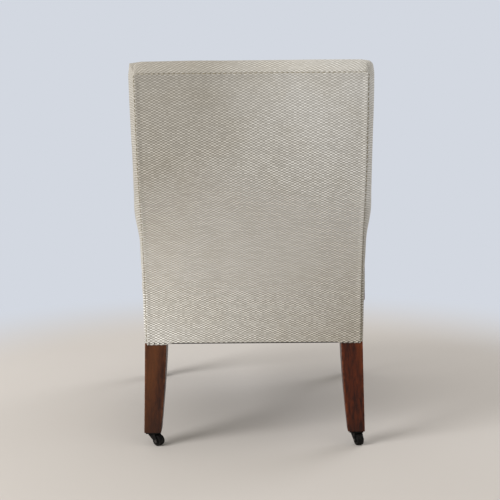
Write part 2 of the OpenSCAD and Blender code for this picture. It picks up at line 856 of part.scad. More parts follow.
// A point of the seat, or of its skirt where drop is over 0
function seat_point(row, col, inset, drop) =
    let (
        r = seat_roll_r - inset,
        swell = mix(seat_swell, hem_swell, drop) - inset,
        cut = mix(seat_corner, hem_corner, drop) * col[1] * row[1],
        y_front = front_face - swell,
        y = mix(seat_back_y, y_front + r, (row[0] + 1) / 2) - r * row[1] + abs(cut),
        side = seat_line(y) + swell,
        x = (side - r) * col[0] + r * col[1] - cut,
        bow = (1 - pow(x / side, 2)) * (1 - pow(0.85 * row[0], 2)),
        z = seat_side_z + r * row[2] * col[2] + seat_crown * bow * row[2] * col[2]
    )
    [x, y, drop > 0 ? mix(seat_side_z, cover_z, drop) : z];

function seat_surface(rows, cols, inset, rings) = [
    [for (r = rows) [for (c = cols) seat_point(r, c, inset, 0)]],
    [for (k = [1 : 1 : rings]) [for (s = rim_path(len(rows), len(cols)))
        seat_point(rows[s[0]], cols[s[1]], inset, k / rings)]]
];

// Hessian stretched over the springs: down on the rails, up over the springs
function dome_z(x, y) =
    let (e = min(seat_line(y) - abs(x), y - front_face, seat_back_y - y))
    rail_top + spring_rise * ease((e - rail_t - 2) / 46);

function seat_floor(lift) =
    [for (r = seat_pad_rows) [for (c = seat_pad_cols)
        let (p = seat_point(r, c, cloth_t + 5, 0)) [p[0], p[1], dome_z(p[0], p[1]) + lift]]];

module seat_cover() {
    color(cover_cloth) difference() {
        skin(seat_surface(seat_rows, seat_cols, 0, 3), seat_surface(seat_rows, seat_cols, cloth_t, 3));
        both_sides() support_body(0.5);
    }
}

module seat_pad() {
    top = seat_surface(seat_pad_rows, seat_pad_cols, cloth_t + soft_gap, 0);
    color(stuffing) difference() {
        skin(top, [seat_floor(hessian_t + soft_gap), []]);
        both_sides() support_body(1);
    }
}

module seat_hessian() {
    rear_in = rear_half_w - leg_w - 2;
    color(hessian_colour) difference() {
        union() {
            skin([seat_floor(hessian_t), []], [seat_floor(0), []]);
            box([-rear_in, seat_back_y - 0.2, rail_top], [rear_in, rail_back_y - 4, rail_top + hessian_t]);
        }
        both_sides() support_body(1);
    }
}

strap_pitch = 70;
web_low = rail_z - 2 * strap_t;

module seat_webbing() {
    half = front_half_w - rail_t + 16;
    color(hessian_colour) intersection() {
        union() {
            for (k = [-2 : 2]) {
                box([k * strap_pitch - strap_w / 2, front_face, web_low],
                    [k * strap_pitch + strap_w / 2, rear_y(rail_z), web_low + strap_t]);
                y = spring_mid_y + k * strap_pitch;
                box([-half, y - strap_w / 2, web_low + strap_t], [half, y + strap_w / 2, rail_z]);
            }
        }
        translate([0, 0, web_low - 1]) linear_extrude(2 * strap_t + 2) polygon([
            for (s = [[-1, front_face + 6], [1, front_face + 6], [1, rail_back_y - 4], [-1, rail_back_y - 4]])
                [s[0] * (rail_x(s[1]) - 8), s[1]]
        ]);
    }
}

module dust_cover() {
    low = cover_z + 0.3;
    slack = 1;
    color("#2b2a28") difference() {
        translate([0, 0, low]) linear_extrude(web_low - low) polygon([
            [-front_half_w + 3, front_face + 3],
            [front_half_w - 3, front_face + 3],
            [front_half_w - 3, front_leg_back],
            [rear_half_w - 3, joint_y],
            [rear_half_w - 3, rear_y(rail_z) - 4],
            [-rear_half_w + 3, rear_y(rail_z) - 4],
            [-rear_half_w + 3, joint_y],
            [-front_half_w + 3, front_leg_back]
        ]);
        both_sides() {
            box([front_in - slack, front_face, 0], [front_half_w + 1, front_leg_back + slack, rail_z]);
            box([rear_half_w - leg_w - slack, joint_y - slack - 1, 0], [rear_half_w + 1, joint_y + 2 * joint_t, rail_z]);
        }
    }
}

// Hourglass springs, each one unbroken wire
spring_turns = 4;
spring_rings = 8 * spring_turns;
spring_sides = 6;
spring_end_r = 40;
spring_waist_r = 27;
spring_spacing = 140;
spring_mid_y = (front_face + seat_back_y) / 2 + 4;
spring_low = rail_z + 0.2 + wire_r;
spring_high = rail_top + spring_rise - 0.2 - wire_r;

function spring_mid(t) =
    let (turn = 360 * spring_turns * t, r = mix(spring_waist_r, spring_end_r, pow(abs(2 * t - 1), 1.4)))
    [r * cos(turn), r * sin(turn), mix(spring_low, spring_high, t)];

function spring_point(t, a) =
    let (m = spring_mid(t), turn = 360 * spring_turns * t)
    m + wire_r * [cos(turn) * cos(a), sin(turn) * cos(a), sin(a)];

function spring_gap() = min([for (i = [0 : spring_rings - 5]) for (j = [i + 5 : spring_rings])
    norm(spring_mid(i / spring_rings) - spring_mid(j / spring_rings)) - 2 * wire_r]);

module seat_spring() {
    n = spring_sides;
    last = spring_rings * n;
    polyhedron(
        points = [for (i = [0 : spring_rings]) for (k = [0 : n - 1]) spring_point(i / spring_rings, 360 * k / n + 30)],
        faces = concat(
            [for (i = [0 : spring_rings - 1]) for (k = [0 : n - 1])
                let (a = i * n + k, b = i * n + (k + 1) % n)
                each [[a, b, b + n], [a, b + n, a + n]]],
            [for (k = [1 : n - 2]) [0, k + 1, k]],
            [for (k = [1 : n - 2]) [last, last + k, last + k + 1]]
        )
    );
}

module seat_springs() {
    echo(str("Least gap between the turns of a seat spring: ", spring_gap(), " mm"));
    color(steel) for (i = [-1 : 1]) for (j = [-1 : 1])
        translate([i * spring_spacing, spring_mid_y + j * spring_spacing, 0]) seat_spring();
}

// Arm pads: rows run from the front end to the rear end, columns from +X to -X
arm_pad_y = arm_front_y + 30;
pad_rim = 4;

function arm_pad_point(s, t, inset) =
    let (
        y = arm_pad_y + arm_pad_l * (s + 1) / 2 - sign(s) * inset * pow(abs(s), 6),
        w = arm_width(y) / 2 + 2,
        x = arm_outer(y) - arm_width(y) / 2 + t * (w - inset) * (1 - 0.22 * pow(abs(s), 10)),
        bulge = pow(1 - pow(abs(t), 3), 1 / 2.4) * pow(1 - pow(abs(s), 8), 1 / 3)
    )
    [x, y, arm_top_z(y) + soft_gap + pad_rim - inset / 2 + (arm_pad_h - pad_rim - inset / 2) * bulge];

function eased_steps(n) = [for (i = [0 : n]) sin(90 * (2 * i / n - 1))];

function arm_pad_grid(n_s, n_t, inset) =
    [for (s = eased_steps(n_s)) [for (t = eased_steps(n_t)) arm_pad_point(s, -t, inset)]];

function arm_pad_floor(n_s, n_t, inset, lift) =
    [for (row = arm_pad_grid(n_s, n_t, inset)) [for (p = row) [p[0], p[1], arm_top_z(p[1]) + lift]]];

function with_hem(grid, floor) = [grid, [[for (s = rim_path(len(grid), len(grid[0]))) floor[s[0]][s[1]]]]];

module arm_pad() {
    inset = cloth_t + soft_gap;
    color(stuffing) skin([arm_pad_grid(12, 8, inset), []], [arm_pad_floor(12, 8, inset, soft_gap), []]);
}

module arm_cover() {
    color(cover_cloth) skin(
        with_hem(arm_pad_grid(12, 8, 0), arm_pad_floor(12, 8, 0, soft_gap)),
        with_hem(arm_pad_grid(12, 8, cloth_t), arm_pad_floor(12, 8, cloth_t, soft_gap))
    );
}

// Castors: [name, place of the swivel pin, way the wheel trails at rest]
castors = [
    ["rear_left", rear_foot, 145],
    ["rear_right", [-rear_foot[0], rear_foot[1]], 110],
    ["front_left", front_foot, 90],
    ["front_right", [-front_foot[0], front_foot[1]], 90]
];
pin_r = 3;
pin_head_r = 5;
swivel_gap = 0.3;
boss_r = 10.5;
boss_t = 1;
crown_top = castor_h - plate_t - boss_t - swivel_gap;
crown_low = crown_top - horn_t;
crown_r = 13.5;
cheek_in = wheel_w / 2 + 0.6;

module at_castor(c, turn) {
    translate([c[1][0], c[1][1], 0]) rotate([0, 0, turn ? c[2] : 0]) children();
}

module castor_plate(c) {
    z_low = castor_h - plate_t;
    color(iron) at_castor(c, false) difference() {
        union() {
            box([-plate_w / 2, -plate_w / 2, z_low], [plate_w / 2, plate_w / 2, castor_h]);
            translate([0, 0, z_low - boss_t]) cylinder(r = boss_r, h = boss_t + eps);
            translate([0, 0, crown_low - swivel_gap - 1.2]) cylinder(r = pin_r, h = z_low - crown_low + 1.6);
            translate([0, 0, crown_low - swivel_gap - 1.2]) cylinder(r = pin_head_r, h = 1.2);
        }
        translate([-c[1][0], -c[1][1], 0]) plate_screws(c[1], fit / 2);
    }
}

module castor_horn(c) {
    color(iron) at_castor(c, true) difference() {
        union() {
            translate([0, 0, crown_low]) cylinder(r = crown_r, h = horn_t);
            for (side = [-1, 1])
                translate([0, side * (cheek_in + horn_t / 2) + horn_t / 2, 0])
                    rotate([90, 0, 0]) linear_extrude(horn_t) union() {
                        polygon([
                            [-crown_r * 0.6, crown_top],
                            [trail * 0.75, crown_top],
                            [trail + 4.6, wheel_r + 1.2],
                            [trail - 3.6, wheel_r - 3],
                            [-crown_r * 0.6, crown_low]
                        ]);
                        translate([trail, wheel_r]) circle(r = axle_r + 2.6);
                    }
            box([-crown_r * 0.6, -cheek_in - horn_t, crown_low], [crown_r * 0.7, cheek_in + horn_t, crown_top]);
        }
        translate([0, 0, crown_low - 1]) cylinder(r = pin_r + swivel_gap, h = horn_t + 2);
        translate([trail, wheel_w, wheel_r]) rotate([90, 0, 0]) cylinder(r = axle_r + 0.05, h = 2 * wheel_w);
    }
}

module castor_axle(c) {
    reach = cheek_in + horn_t + 0.1;
    color(steel) at_castor(c, true) translate([trail, 0, wheel_r]) rotate([90, 0, 0]) {
        cylinder(r = axle_r, h = 2 * reach, center = true);
        for (side = [-1, 1])
            translate([0, 0, side * (reach + 0.5)]) cylinder(r = axle_r + 1.2, h = 1, center = true);
    }
}

module castor_wheel(c) {
    bore = axle_r + 0.25;
    edge = 1.2;
    color(iron) at_castor(c, true) translate([trail, 0, wheel_r]) rotate([90, 0, 0]) rotate_extrude()
        polygon([
            [bore, -wheel_w / 2],
            [wheel_r * 0.45, -wheel_w / 2],
            [wheel_r * 0.5, -wheel_w / 2 + 1],
            [wheel_r * 0.75, -wheel_w / 2 + 1],
            [wheel_r * 0.8, -wheel_w / 2],
            [wheel_r - edge, -wheel_w / 2],
            [wheel_r, -wheel_w / 2 + edge],
            [wheel_r, wheel_w / 2 - edge],
            [wheel_r - edge, wheel_w / 2],
            [wheel_r * 0.8, wheel_w / 2],
            [wheel_r * 0.75, wheel_w / 2 - 1],
            [wheel_r * 0.5, wheel_w / 2 - 1],
            [wheel_r * 0.45, wheel_w / 2],
            [bore, wheel_w / 2]
        ]);
}

module castor_screws() {
    color(steel) for (c = castors) plate_screws(c[1]);
}

rear_leg();  // rear_leg_left
mirror([1, 0, 0]) rear_leg();  // rear_leg_right
front_leg();  // front_leg_left
mirror([1, 0, 0]) front_leg();  // front_leg_right
front_rail();
rear_rail();
side_rail();  // side_rail_left
mirror([1, 0, 0]) side_rail();  // side_rail_right
back_rail(top_rail_zs, top_tenon_zs);  // back_top_rail
back_rail(lower_rail_zs, lower_tenon_zs);  // back_lower_rail
corner_blocks();
corner_block_screws();
arm();  // arm_left
mirror([1, 0, 0]) arm();  // arm_right
arm_support();  // arm_support_left
mirror([1, 0, 0]) arm_support();  // arm_support_right
arm_screws();
arm_pad();  // arm_pad_left
mirror([1, 0, 0]) arm_pad();  // arm_pad_right
arm_cover();  // arm_cover_left
mirror([1, 0, 0]) arm_cover();  // arm_cover_right
seat_webbing();
seat_springs();
seat_hessian();
seat_pad();
seat_cover();
dust_cover();
back_webbing();
back_hessian();
back_pad();
inside_back_cover();
outside_back_cover();
side_border();  // side_border_left
mirror([1, 0, 0]) side_border();  // side_border_right
castor_screws();
for (c = castors) {
    castor_plate(c);
    castor_horn(c);
    castor_axle(c);
    castor_wheel(c);
}
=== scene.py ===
import math

import bmesh
import bpy
import numpy as np
from mathutils import Matrix, Vector, noise


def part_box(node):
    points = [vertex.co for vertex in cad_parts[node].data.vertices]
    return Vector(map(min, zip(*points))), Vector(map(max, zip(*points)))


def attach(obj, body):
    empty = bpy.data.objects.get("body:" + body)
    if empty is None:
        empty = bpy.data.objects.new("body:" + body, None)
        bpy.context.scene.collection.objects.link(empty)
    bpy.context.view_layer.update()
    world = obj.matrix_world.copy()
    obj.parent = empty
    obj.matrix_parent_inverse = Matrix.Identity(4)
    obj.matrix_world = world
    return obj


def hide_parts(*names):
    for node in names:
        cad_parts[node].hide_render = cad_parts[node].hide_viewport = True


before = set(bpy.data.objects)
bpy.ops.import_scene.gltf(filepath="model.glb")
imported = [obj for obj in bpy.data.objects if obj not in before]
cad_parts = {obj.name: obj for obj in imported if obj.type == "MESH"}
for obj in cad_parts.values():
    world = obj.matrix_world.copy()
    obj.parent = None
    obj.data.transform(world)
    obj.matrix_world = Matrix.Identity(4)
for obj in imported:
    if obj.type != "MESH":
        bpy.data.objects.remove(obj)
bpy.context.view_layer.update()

# Rear legs: sawn from mahogany plank, each one piece from its foot to the top of the back, swept back
# below the seat and raked above it. They are planed, their arrises rubbed over, and french polished
# where they show. All sizes below are millimetres until a mesh is made.
MM = 0.001
CHAIR_H, CHAIR_D, SEAT_H, CASTOR_H = 943, 728, 442, 34
REAR_HALF_W, LEG_W, FOOT_W, FOOT_OUT = 271, 54, 42, 3
JOINT_T, FOOT_T, WAIST_T = 60, 38, 45
UPRIGHT_TOP_T, UPRIGHT_TOP_W = 30, 45
WAIST_Z, FOOT_SWEEP, BACK_RAKE = 510, 62, 98
LEG_ARRIS, FOOT_CHAMFER, TOP_IN, TOP_RUN = 2.2, 0.8, 4, 40
RAIL_Z, RAIL_H, RAIL_T = 258, 66, 28
RAIL_TOP = RAIL_Z + RAIL_H
SEAM_Z = CHAIR_H - 31
UPRIGHT_TOP = SEAM_Z - 9
PANEL_HALF_W, PANEL_TOP_IN, PANEL_LOW_IN = 274, 5, 3
CLOTH_T, SOFT_GAP = 2, 0.3
WAIST_Y = CHAIR_D / 2 - BACK_RAKE - CLOTH_T - SOFT_GAP


def mix(a, b, t):
    return a + (b - a) * t


def limit(t):
    return min(1.0, max(0.0, t))


def ease(t):
    t = limit(t)
    return t * t * (3 - 2 * t)


def rear_y(z):
    """Rear face of an upright at height z."""
    if z < WAIST_Z:
        return WAIST_Y + FOOT_SWEEP * ((WAIST_Z - z) / (WAIST_Z - CASTOR_H)) ** 1.6
    return WAIST_Y + BACK_RAKE * ((z - WAIST_Z) / (SEAM_Z - WAIST_Z)) ** 1.35


JOINT_Y = rear_y(RAIL_Z) - JOINT_T


def front_y(z):
    """Front face of an upright at height z, flat where the side rail meets it."""
    if z < RAIL_Z:
        return rear_y(z) - mix(FOOT_T, JOINT_T, ease((z - CASTOR_H) / (RAIL_Z - CASTOR_H)))
    if z < RAIL_TOP:
        return JOINT_Y
    if z < WAIST_Z:
        return mix(JOINT_Y, WAIST_Y - WAIST_T, ease((z - RAIL_TOP) / (WAIST_Z - RAIL_TOP)))
    return rear_y(z) - mix(WAIST_T, UPRIGHT_TOP_T, (z - WAIST_Z) / (UPRIGHT_TOP - WAIST_Z))


def panel_half(z):
    """Half the width of the outside back at height z."""
    if z < WAIST_Z:
        return PANEL_HALF_W - PANEL_LOW_IN * ((WAIST_Z - z) / (WAIST_Z - RAIL_Z)) ** 2
    return PANEL_HALF_W - PANEL_TOP_IN * ((z - WAIST_Z) / (SEAM_Z - WAIST_Z)) ** 2


def leg_out(z):
    """Outer face of a rear leg, which eases in beside the side rail to make room for the cloth."""
    if z < RAIL_Z:
        return REAR_HALF_W + FOOT_OUT * (RAIL_Z - z) / (RAIL_Z - CASTOR_H)
    under_cloth = mix(REAR_HALF_W, panel_half(z) - CLOTH_T - 2 * SOFT_GAP, ease((z - RAIL_Z) / RAIL_H))
    return under_cloth - TOP_IN * ease((z - UPRIGHT_TOP + TOP_RUN) / TOP_RUN)


def leg_in(z):
    """Inner face of a rear leg, tapered to the foot and to the top."""
    if z < RAIL_Z:
        return leg_out(z) - LEG_W + (LEG_W - FOOT_W) * ((RAIL_Z - z) / (RAIL_Z - CASTOR_H)) ** 1.6
    return mix(REAR_HALF_W - LEG_W, leg_out(UPRIGHT_TOP) - UPRIGHT_TOP_W,
               limit((z - RAIL_TOP) / (UPRIGHT_TOP - RAIL_TOP)))


def linear(code):
    """A colour written as sRGB hex, as the linear colour that a shader takes."""
    parts = [int(code[i:i + 2], 16) / 255 for i in (1, 3, 5)]
    return [p / 12.92 if p <= 0.04045 else ((p + 0.055) / 1.055) ** 2.4 for p in parts] + [1.0]


def add(tree, kind, inputs=None, out=0, **settings):
    """Adds a node with its settings, values and links. Returns one output, or the node if out is None."""
    node = tree.nodes.new(kind)
    for key, value in settings.items():
        setattr(node, key, value)
    for key, value in (inputs or {}).items():
        if isinstance(value, bpy.types.NodeSocket):
            tree.links.new(value, node.inputs[key])
        else:
            node.inputs[key].default_value = value
    return node if out is None else node.outputs[out]


def start_finish(name, **values):
    """A new material with the values that are the same all over it set on its shader."""
    material = bpy.data.materials.new(name)
    material.use_nodes = True
    shader = material.node_tree.nodes["Principled BSDF"]
    for key, value in values.items():
        shader.inputs[key.replace("_", " ")].default_value = value
    return material, material.node_tree


def calc(tree, operation, *values):
    return add(tree, "ShaderNodeMath", dict(enumerate(values)), operation=operation)


def ranged(tree, value, low, high, to_low=0.0, to_high=1.0, soft=False):
    """A value from low to high, spread from to_low to to_high and held there beyond them."""
    return add(tree, "ShaderNodeMapRange", {0: value, 1: low, 2: high, 3: to_low, 4: to_high},
               interpolation_type="SMOOTHSTEP" if soft else "LINEAR")


def blend(tree, share, first, second, way="MIX"):
    """Two colours mixed, each a link, a linear colour or a hex string."""
    first, second = [linear(c) if isinstance(c, str) else c for c in (first, second)]
    return add(tree, "ShaderNodeMix", {0: share, 6: first, 7: second}, 2, data_type="RGBA", blend_type=way)


def clouds(tree, vector, scale, detail, out=0, **more):
    return add(tree, "ShaderNodeTexNoise", {"Vector": vector, "Scale": scale, "Detail": detail, **more}, out)


def surface(tree, colour, relief=None, strength=0.0, deep=0.0, rough=None):
    """Links a finish's colour, its roughness, and its relief, which is deep millimetres at full strength."""
    shader = tree.nodes["Principled BSDF"]
    tree.links.new(colour, shader.inputs["Base Color"])
    if rough is not None:
        tree.links.new(rough, shader.inputs["Roughness"])
    if relief is not None:
        bump = add(tree, "ShaderNodeBump", {"Strength": strength, "Distance": deep * MM, "Height": relief})
        tree.links.new(bump, shader.inputs["Normal"])


def polished_mahogany(name, turn, shift, painted_shade_tint=(1, 1, 1, 1)):
    """French-polished mahogany: red-brown heartwood with darker growth streaks along the grain, fine
    open pores, arrises rubbed to a lighter brown, and darker towards the floor.
    The grain runs along Z once turned by turn, and shift moves the figure so no two pieces match. The
    tint laid over the whole piece is painted shade, set for each rear leg by how the lamps light it."""
    material, tree = start_finish(name, Coat_Weight=0.06, Coat_Roughness=0.22, Specular_IOR_Level=0.14)
    spot = add(tree, "ShaderNodeTexCoord", out=3)
    wood = add(tree, "ShaderNodeMapping", {0: spot, 1: shift, 2: turn})
    slow = add(tree, "ShaderNodeMapping", {0: wood, 3: (1, 1, 0.09)})
    bend = clouds(tree, slow, 14.0, 2.0)
    streak_mm, pore_mm = 7.0, 0.5
    streak = clouds(tree, slow, 1 / (streak_mm * MM), 5.0, Roughness=0.62, Distortion=0.5)
    figure = ranged(tree, streak, 0.3, 0.72, soft=True)
    fine = add(tree, "ShaderNodeMapping", {0: wood, 3: (1, 1, 0.05)})
    pores = clouds(tree, fine, 1 / (pore_mm * MM), 2.0)
    pores = ranged(tree, pores, 0.6, 0.7, soft=True)
    colour = blend(tree, figure, "#271008", "#4f230f")
    patch = ranged(tree, bend, 0.45, 0.75, soft=True)
    patch = calc(tree, "MULTIPLY", patch, 0.55)
    colour = blend(tree, patch, colour, "#82421d")
    dark = calc(tree, "MULTIPLY", pores, 0.55)
    colour = blend(tree, dark, colour, "#190b07")
    arris = add(tree, "ShaderNodeAttribute", out=2, attribute_name="arris")
    rubbed = clouds(tree, spot, 90.0, 3.0)
    rubbed = ranged(tree, rubbed, 0.4, 0.66)
    rubbed = calc(tree, "MULTIPLY", rubbed, arris)
    rubbed = calc(tree, "MULTIPLY", rubbed, 0.6)
    colour = blend(tree, rubbed, colour, "#8a4a28")
    height = add(tree, "ShaderNodeSeparateXYZ", {0: spot}, 2)
    # Darker towards the floor: the colour darkens over the lowest 95 mm of each piece.
    darker_near_floor = ranged(tree, height, 95 * MM, 30 * MM, soft=True)
    darker_near_floor = calc(tree, "MULTIPLY", darker_near_floor, 0.5)
    colour = blend(tree, darker_near_floor, colour, "#1d0f0a")
    # Painted shade: the whole colour is multiplied by the piece's tint.
    colour = blend(tree, 1.0, colour, painted_shade_tint, "MULTIPLY")
    smear = clouds(tree, spot, 30.0, 3.0)
    smear = ranged(tree, smear, 0.3, 0.7, 0.3, 0.46)
    relief = calc(tree, "MULTIPLY_ADD", pores, -1.0, streak)
    surface(tree, colour, relief, strength=0.5, deep=0.12, rough=smear)
    return material


def place(name, points, faces, material, uv=None, arris=None, sharp=40):
    """A mesh object from points in millimetres: normals outward, edges over sharp degrees left crisp."""
    mesh = bpy.data.meshes.new(name)
    mesh.from_pydata([[c * MM for c in p] for p in points], [], faces)
    shape = bmesh.new()
    shape.from_mesh(mesh)
    bmesh.ops.recalc_face_normals(shape, faces=shape.faces)
    for edge in shape.edges:
        edge.smooth = len(edge.link_faces) != 2 or edge.calc_face_angle(0) < math.radians(sharp)
    for face in shape.faces:
        face.smooth = True
    if uv is not None:
        layer = shape.loops.layers.uv.new("cloth")
        for face in shape.faces:
            for loop in face.loops:
                loop[layer].uv = [c * MM for c in uv[loop.vert.index]]
    shape.to_mesh(mesh)
    shape.free()
    if arris is not None:
        mesh.attributes.new("arris", "FLOAT", "POINT").data.foreach_set("value", arris)
    mesh.materials.append(material)
    made = bpy.data.objects.new(name, mesh)
    bpy.context.scene.collection.objects.link(made)
    return made


def tube_faces(n, count):
    """Faces of a closed tube of count rings of n points each."""
    walls = [[i * n + k, i * n + (k + 1) % n, (i + 1) * n + (k + 1) % n, (i + 1) * n + k]
             for i in range(count - 1) for k in range(n)]
    return walls + [list(range(n)), list(range((count - 1) * n, count * n))]


def bar(rings, radius, order):
    """Points, faces and arris share of a bar that runs through rounded rectangles [u0, u1, v0, v1, w]. Order
    names the axes that u, v and w lie along."""
    corner_steps, shoulder = 5, 4
    points, arris = [], []
    for u0, u1, v0, v1, w in rings:
        half = min(u1 - u0, v1 - v0) / 2.01
        r = min(radius, half)
        flat = min(shoulder, half - r)
        corners = ((u1 - r, v0 + r, -90), (u1 - r, v1 - r, 0), (u0 + r, v1 - r, 90), (u0 + r, v0 + r, 180))
        for cu, cv, start in corners:
            for k in range(-1, corner_steps + 2):
                a = math.radians(start + 90 * limit(k / corner_steps))
                along = -flat if k < 0 else flat if k > corner_steps else 0
                spot = {order[0]: cu + r * math.cos(a) - along * math.sin(a),
                        order[1]: cv + r * math.sin(a) + along * math.cos(a), order[2]: w}
                points.append([spot[axis] for axis in "xyz"])
                arris.append(0.0 if along else 0.5 + 0.5 * math.sin(math.pi * k / corner_steps))
    return points, tube_faces(4 * (corner_steps + 3), len(rings)), arris


def span(a, b, n):
    return [mix(a, b, i / n) for i in range(n + 1)]


def rear_leg_rings():
    """Rings from the chamfered foot to the top of the back."""
    heights = [CASTOR_H + FOOT_CHAMFER] + span(CASTOR_H + 3, RAIL_Z, 16) + span(RAIL_Z + 8, WAIST_Z, 14) \
        + span(WAIST_Z + 12, UPRIGHT_TOP, 24)
    rings = [[leg_in(z), leg_out(z), front_y(z), rear_y(z), z] for z in [CASTOR_H] + heights]
    rings[0][:4] = [face + inward * FOOT_CHAMFER for face, inward in zip(rings[0], (1, -1, 1, -1))]
    return rings


def mirrored(points):
    return [[-p[0], p[1], p[2]] for p in points]


def sided(points, side):
    """Points drawn for the left, mirrored for the right."""
    return points if side == "left" else mirrored(points)


def mahogany(piece, finish, side, shape, grain, shift, painted_shade_tint=(1, 1, 1, 1)):
    """One of a pair of polished pieces, from the points, faces and arris share of the left one."""
    points, faces, arris = shape
    polish = polished_mahogany("polished_mahogany_" + finish + "_" + side, grain, shift, painted_shade_tint)
    return place("mahogany_" + piece + "_" + side, sided(points, side), faces, polish, arris=arris)


QUARTER = math.pi / 2
GRAIN_UP, GRAIN_BACK = (0, 0, 0), (QUARTER, 0, 0)
# The tints of the rear legs are painted shade: the left leg, which the key lamp lights most, is made darker
# and cooler, the right one darker and redder.
for side, shift, painted_shade_tint in (("left", (0.3, 1.1, 0.2), (0.7, 0.92, 1.05, 1)),
                          ("right", (2.7, 0.4, 1.9), (1.03, 0.88, 0.6, 1))):
    shape = bar(rear_leg_rings(), LEG_ARRIS, "xyz")
    leg = mahogany("rear_leg", "rear", side, shape, GRAIN_UP, shift, painted_shade_tint)
    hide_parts("rear_leg_" + side)
    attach(leg, "root")

# Front legs: square tapered mahogany, the taper on the two inner faces, polished like the rear legs.
# The rails are tenoned into them, and the seat cover is pulled down over their tops.
FRONT_HALF_W, FRONT_LEG_W, FRONT_FOOT_W, SEAT_SWELL = 315, 50, 38, 12
FRONT_FACE = -CHAIR_D / 2 + SEAT_SWELL
FRONT_LEG_BACK = FRONT_FACE + FRONT_LEG_W
FRONT_IN = FRONT_HALF_W - FRONT_LEG_W


def front_leg_rings():
    rings = []
    heights = [CASTOR_H, CASTOR_H + FOOT_CHAMFER] + span(CASTOR_H + 4, RAIL_Z, 8) + [RAIL_Z + 10, RAIL_TOP]
    for z in heights:
        ease_in = FOOT_CHAMFER if z == CASTOR_H else 0
        taper = (FRONT_LEG_W - FRONT_FOOT_W) * limit((RAIL_Z - z) / (RAIL_Z - CASTOR_H))
        rings.append([FRONT_IN + taper + ease_in, FRONT_HALF_W - ease_in, FRONT_FACE + ease_in,
                      FRONT_LEG_BACK - taper - ease_in, z])
    return rings


for side, shift in (("left", (4.1, 0.8, 0.6)), ("right", (1.4, 3.3, 2.4))):
    leg = mahogany("front_leg", "front", side, bar(front_leg_rings(), LEG_ARRIS, "xyz"), GRAIN_UP, shift)
    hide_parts("front_leg_" + side)
    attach(leg, "root")

# Rails and corner blocks: beech straight from the saw and plane, tenoned or glued and screwed, and left
# bare because the upholstery hides them. Each keeps the shape that the frame gives it, with its
# edges just eased.


def sawn_beech(name, turn):
    """Bare beech: pale pinkish brown with short darker ray flecks, dry and a little furry from the saw."""
    material, tree = start_finish(name, Roughness=0.72)
    spot = add(tree, "ShaderNodeTexCoord", out=3)
    wood = add(tree, "ShaderNodeMapping", {0: spot, 2: turn})
    along = add(tree, "ShaderNodeMapping", {0: wood, 3: (1, 1, 0.08)})
    grain = clouds(tree, along, 160.0, 4.0)
    grain = ranged(tree, grain, 0.3, 0.7)
    flecks = add(tree, "ShaderNodeMapping", {0: wood, 3: (1, 1, 0.3)})
    flecks = clouds(tree, flecks, 900.0, 1.0)
    flecks = ranged(tree, flecks, 0.62, 0.7, 0.0, 0.6)
    colour = blend(tree, grain, "#b08a5c", "#cfae80")
    colour = blend(tree, flecks, colour, "#8f6a45")
    surface(tree, colour, grain, strength=0.6, deep=0.2)
    return material


def new_tree(name, sizes):
    """A geometry tree with a geometry input, a named input for each size, and one geometry output."""
    tree = bpy.data.node_groups.new(name, "GeometryNodeTree")
    tree.interface.new_socket(name="Geometry", in_out="INPUT", socket_type="NodeSocketGeometry")
    for key, value in sizes.items():
        kind = "NodeSocketInt" if isinstance(value, int) else "NodeSocketFloat"
        tree.interface.new_socket(name=key, in_out="INPUT", socket_type=kind).default_value = value
    tree.interface.new_socket(name="Geometry", in_out="OUTPUT", socket_type="NodeSocketGeometry")
    return tree, tree.nodes.new("NodeGroupInput").outputs


smoothed, given = new_tree("merged_and_smoothed", {"Merge distance": 0.01 * MM})
merged = add(smoothed, "GeometryNodeMergeByDistance",
             {"Geometry": given["Geometry"], "Distance": given["Merge distance"]})
merged = add(smoothed, "GeometryNodeSetShadeSmooth", {"Geometry": merged})
add(smoothed, "NodeGroupOutput", {"Geometry": merged}, None)


def dress(node, material, edge):
    """Gives a frame node its finish, with its edges eased by edge millimetres."""
    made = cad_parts[node]
    made.data.materials.clear()
    made.data.materials.append(material)
    made.modifiers.new("merge", "NODES").node_group = smoothed
    eased = made.modifiers.new("ease", "BEVEL")
    eased.width, eased.segments = edge * MM, 2
    eased.limit_method, eased.angle_limit = "ANGLE", math.radians(32)
    made.modifiers.new("even", "WEIGHTED_NORMAL").keep_sharp = True


beech_across = sawn_beech("sawn_beech_across", (0, QUARTER, 0))
beech_along = sawn_beech("sawn_beech_along", GRAIN_BACK)
for node in ("front_rail", "rear_rail", "back_top_rail", "back_lower_rail", "corner_blocks"):
    dress(node, beech_across, edge=0.6)
for node in ("side_rail_left", "side_rail_right"):
    dress(node, beech_along, edge=0.6)

# Screws: turned steel wood screws through the corner blocks, the arm supports, the uprights and the
# castor plates. They are dull, with a brown bloom where damp has reached them.


def dull_steel(name, bright, stained, rough):
    """Plain steel, turned and left uncoated, with soft brown staining in patches."""
    material, tree = start_finish(name, Metallic=1.0)
    spot = add(tree, "ShaderNodeTexCoord", out=3)
    stain = clouds(tree, spot, 260.0, 4.0, Roughness=0.6)
    stain = ranged(tree, stain, 0.45, 0.7, soft=True)
    colour = blend(tree, stain, bright, stained)
    dull = ranged(tree, stain, 0.0, 1.0, rough, rough + 0.3)
    surface(tree, colour, stain, strength=0.4, deep=0.05, rough=dull)
    return material


screw_steel = dull_steel("stained_screw_steel", "#a3a2a0", "#6a4f3c", rough=0.34)
for node in ("corner_block_screws", "arm_screws", "castor_screws"):
    dress(node, screw_steel, edge=0.15)

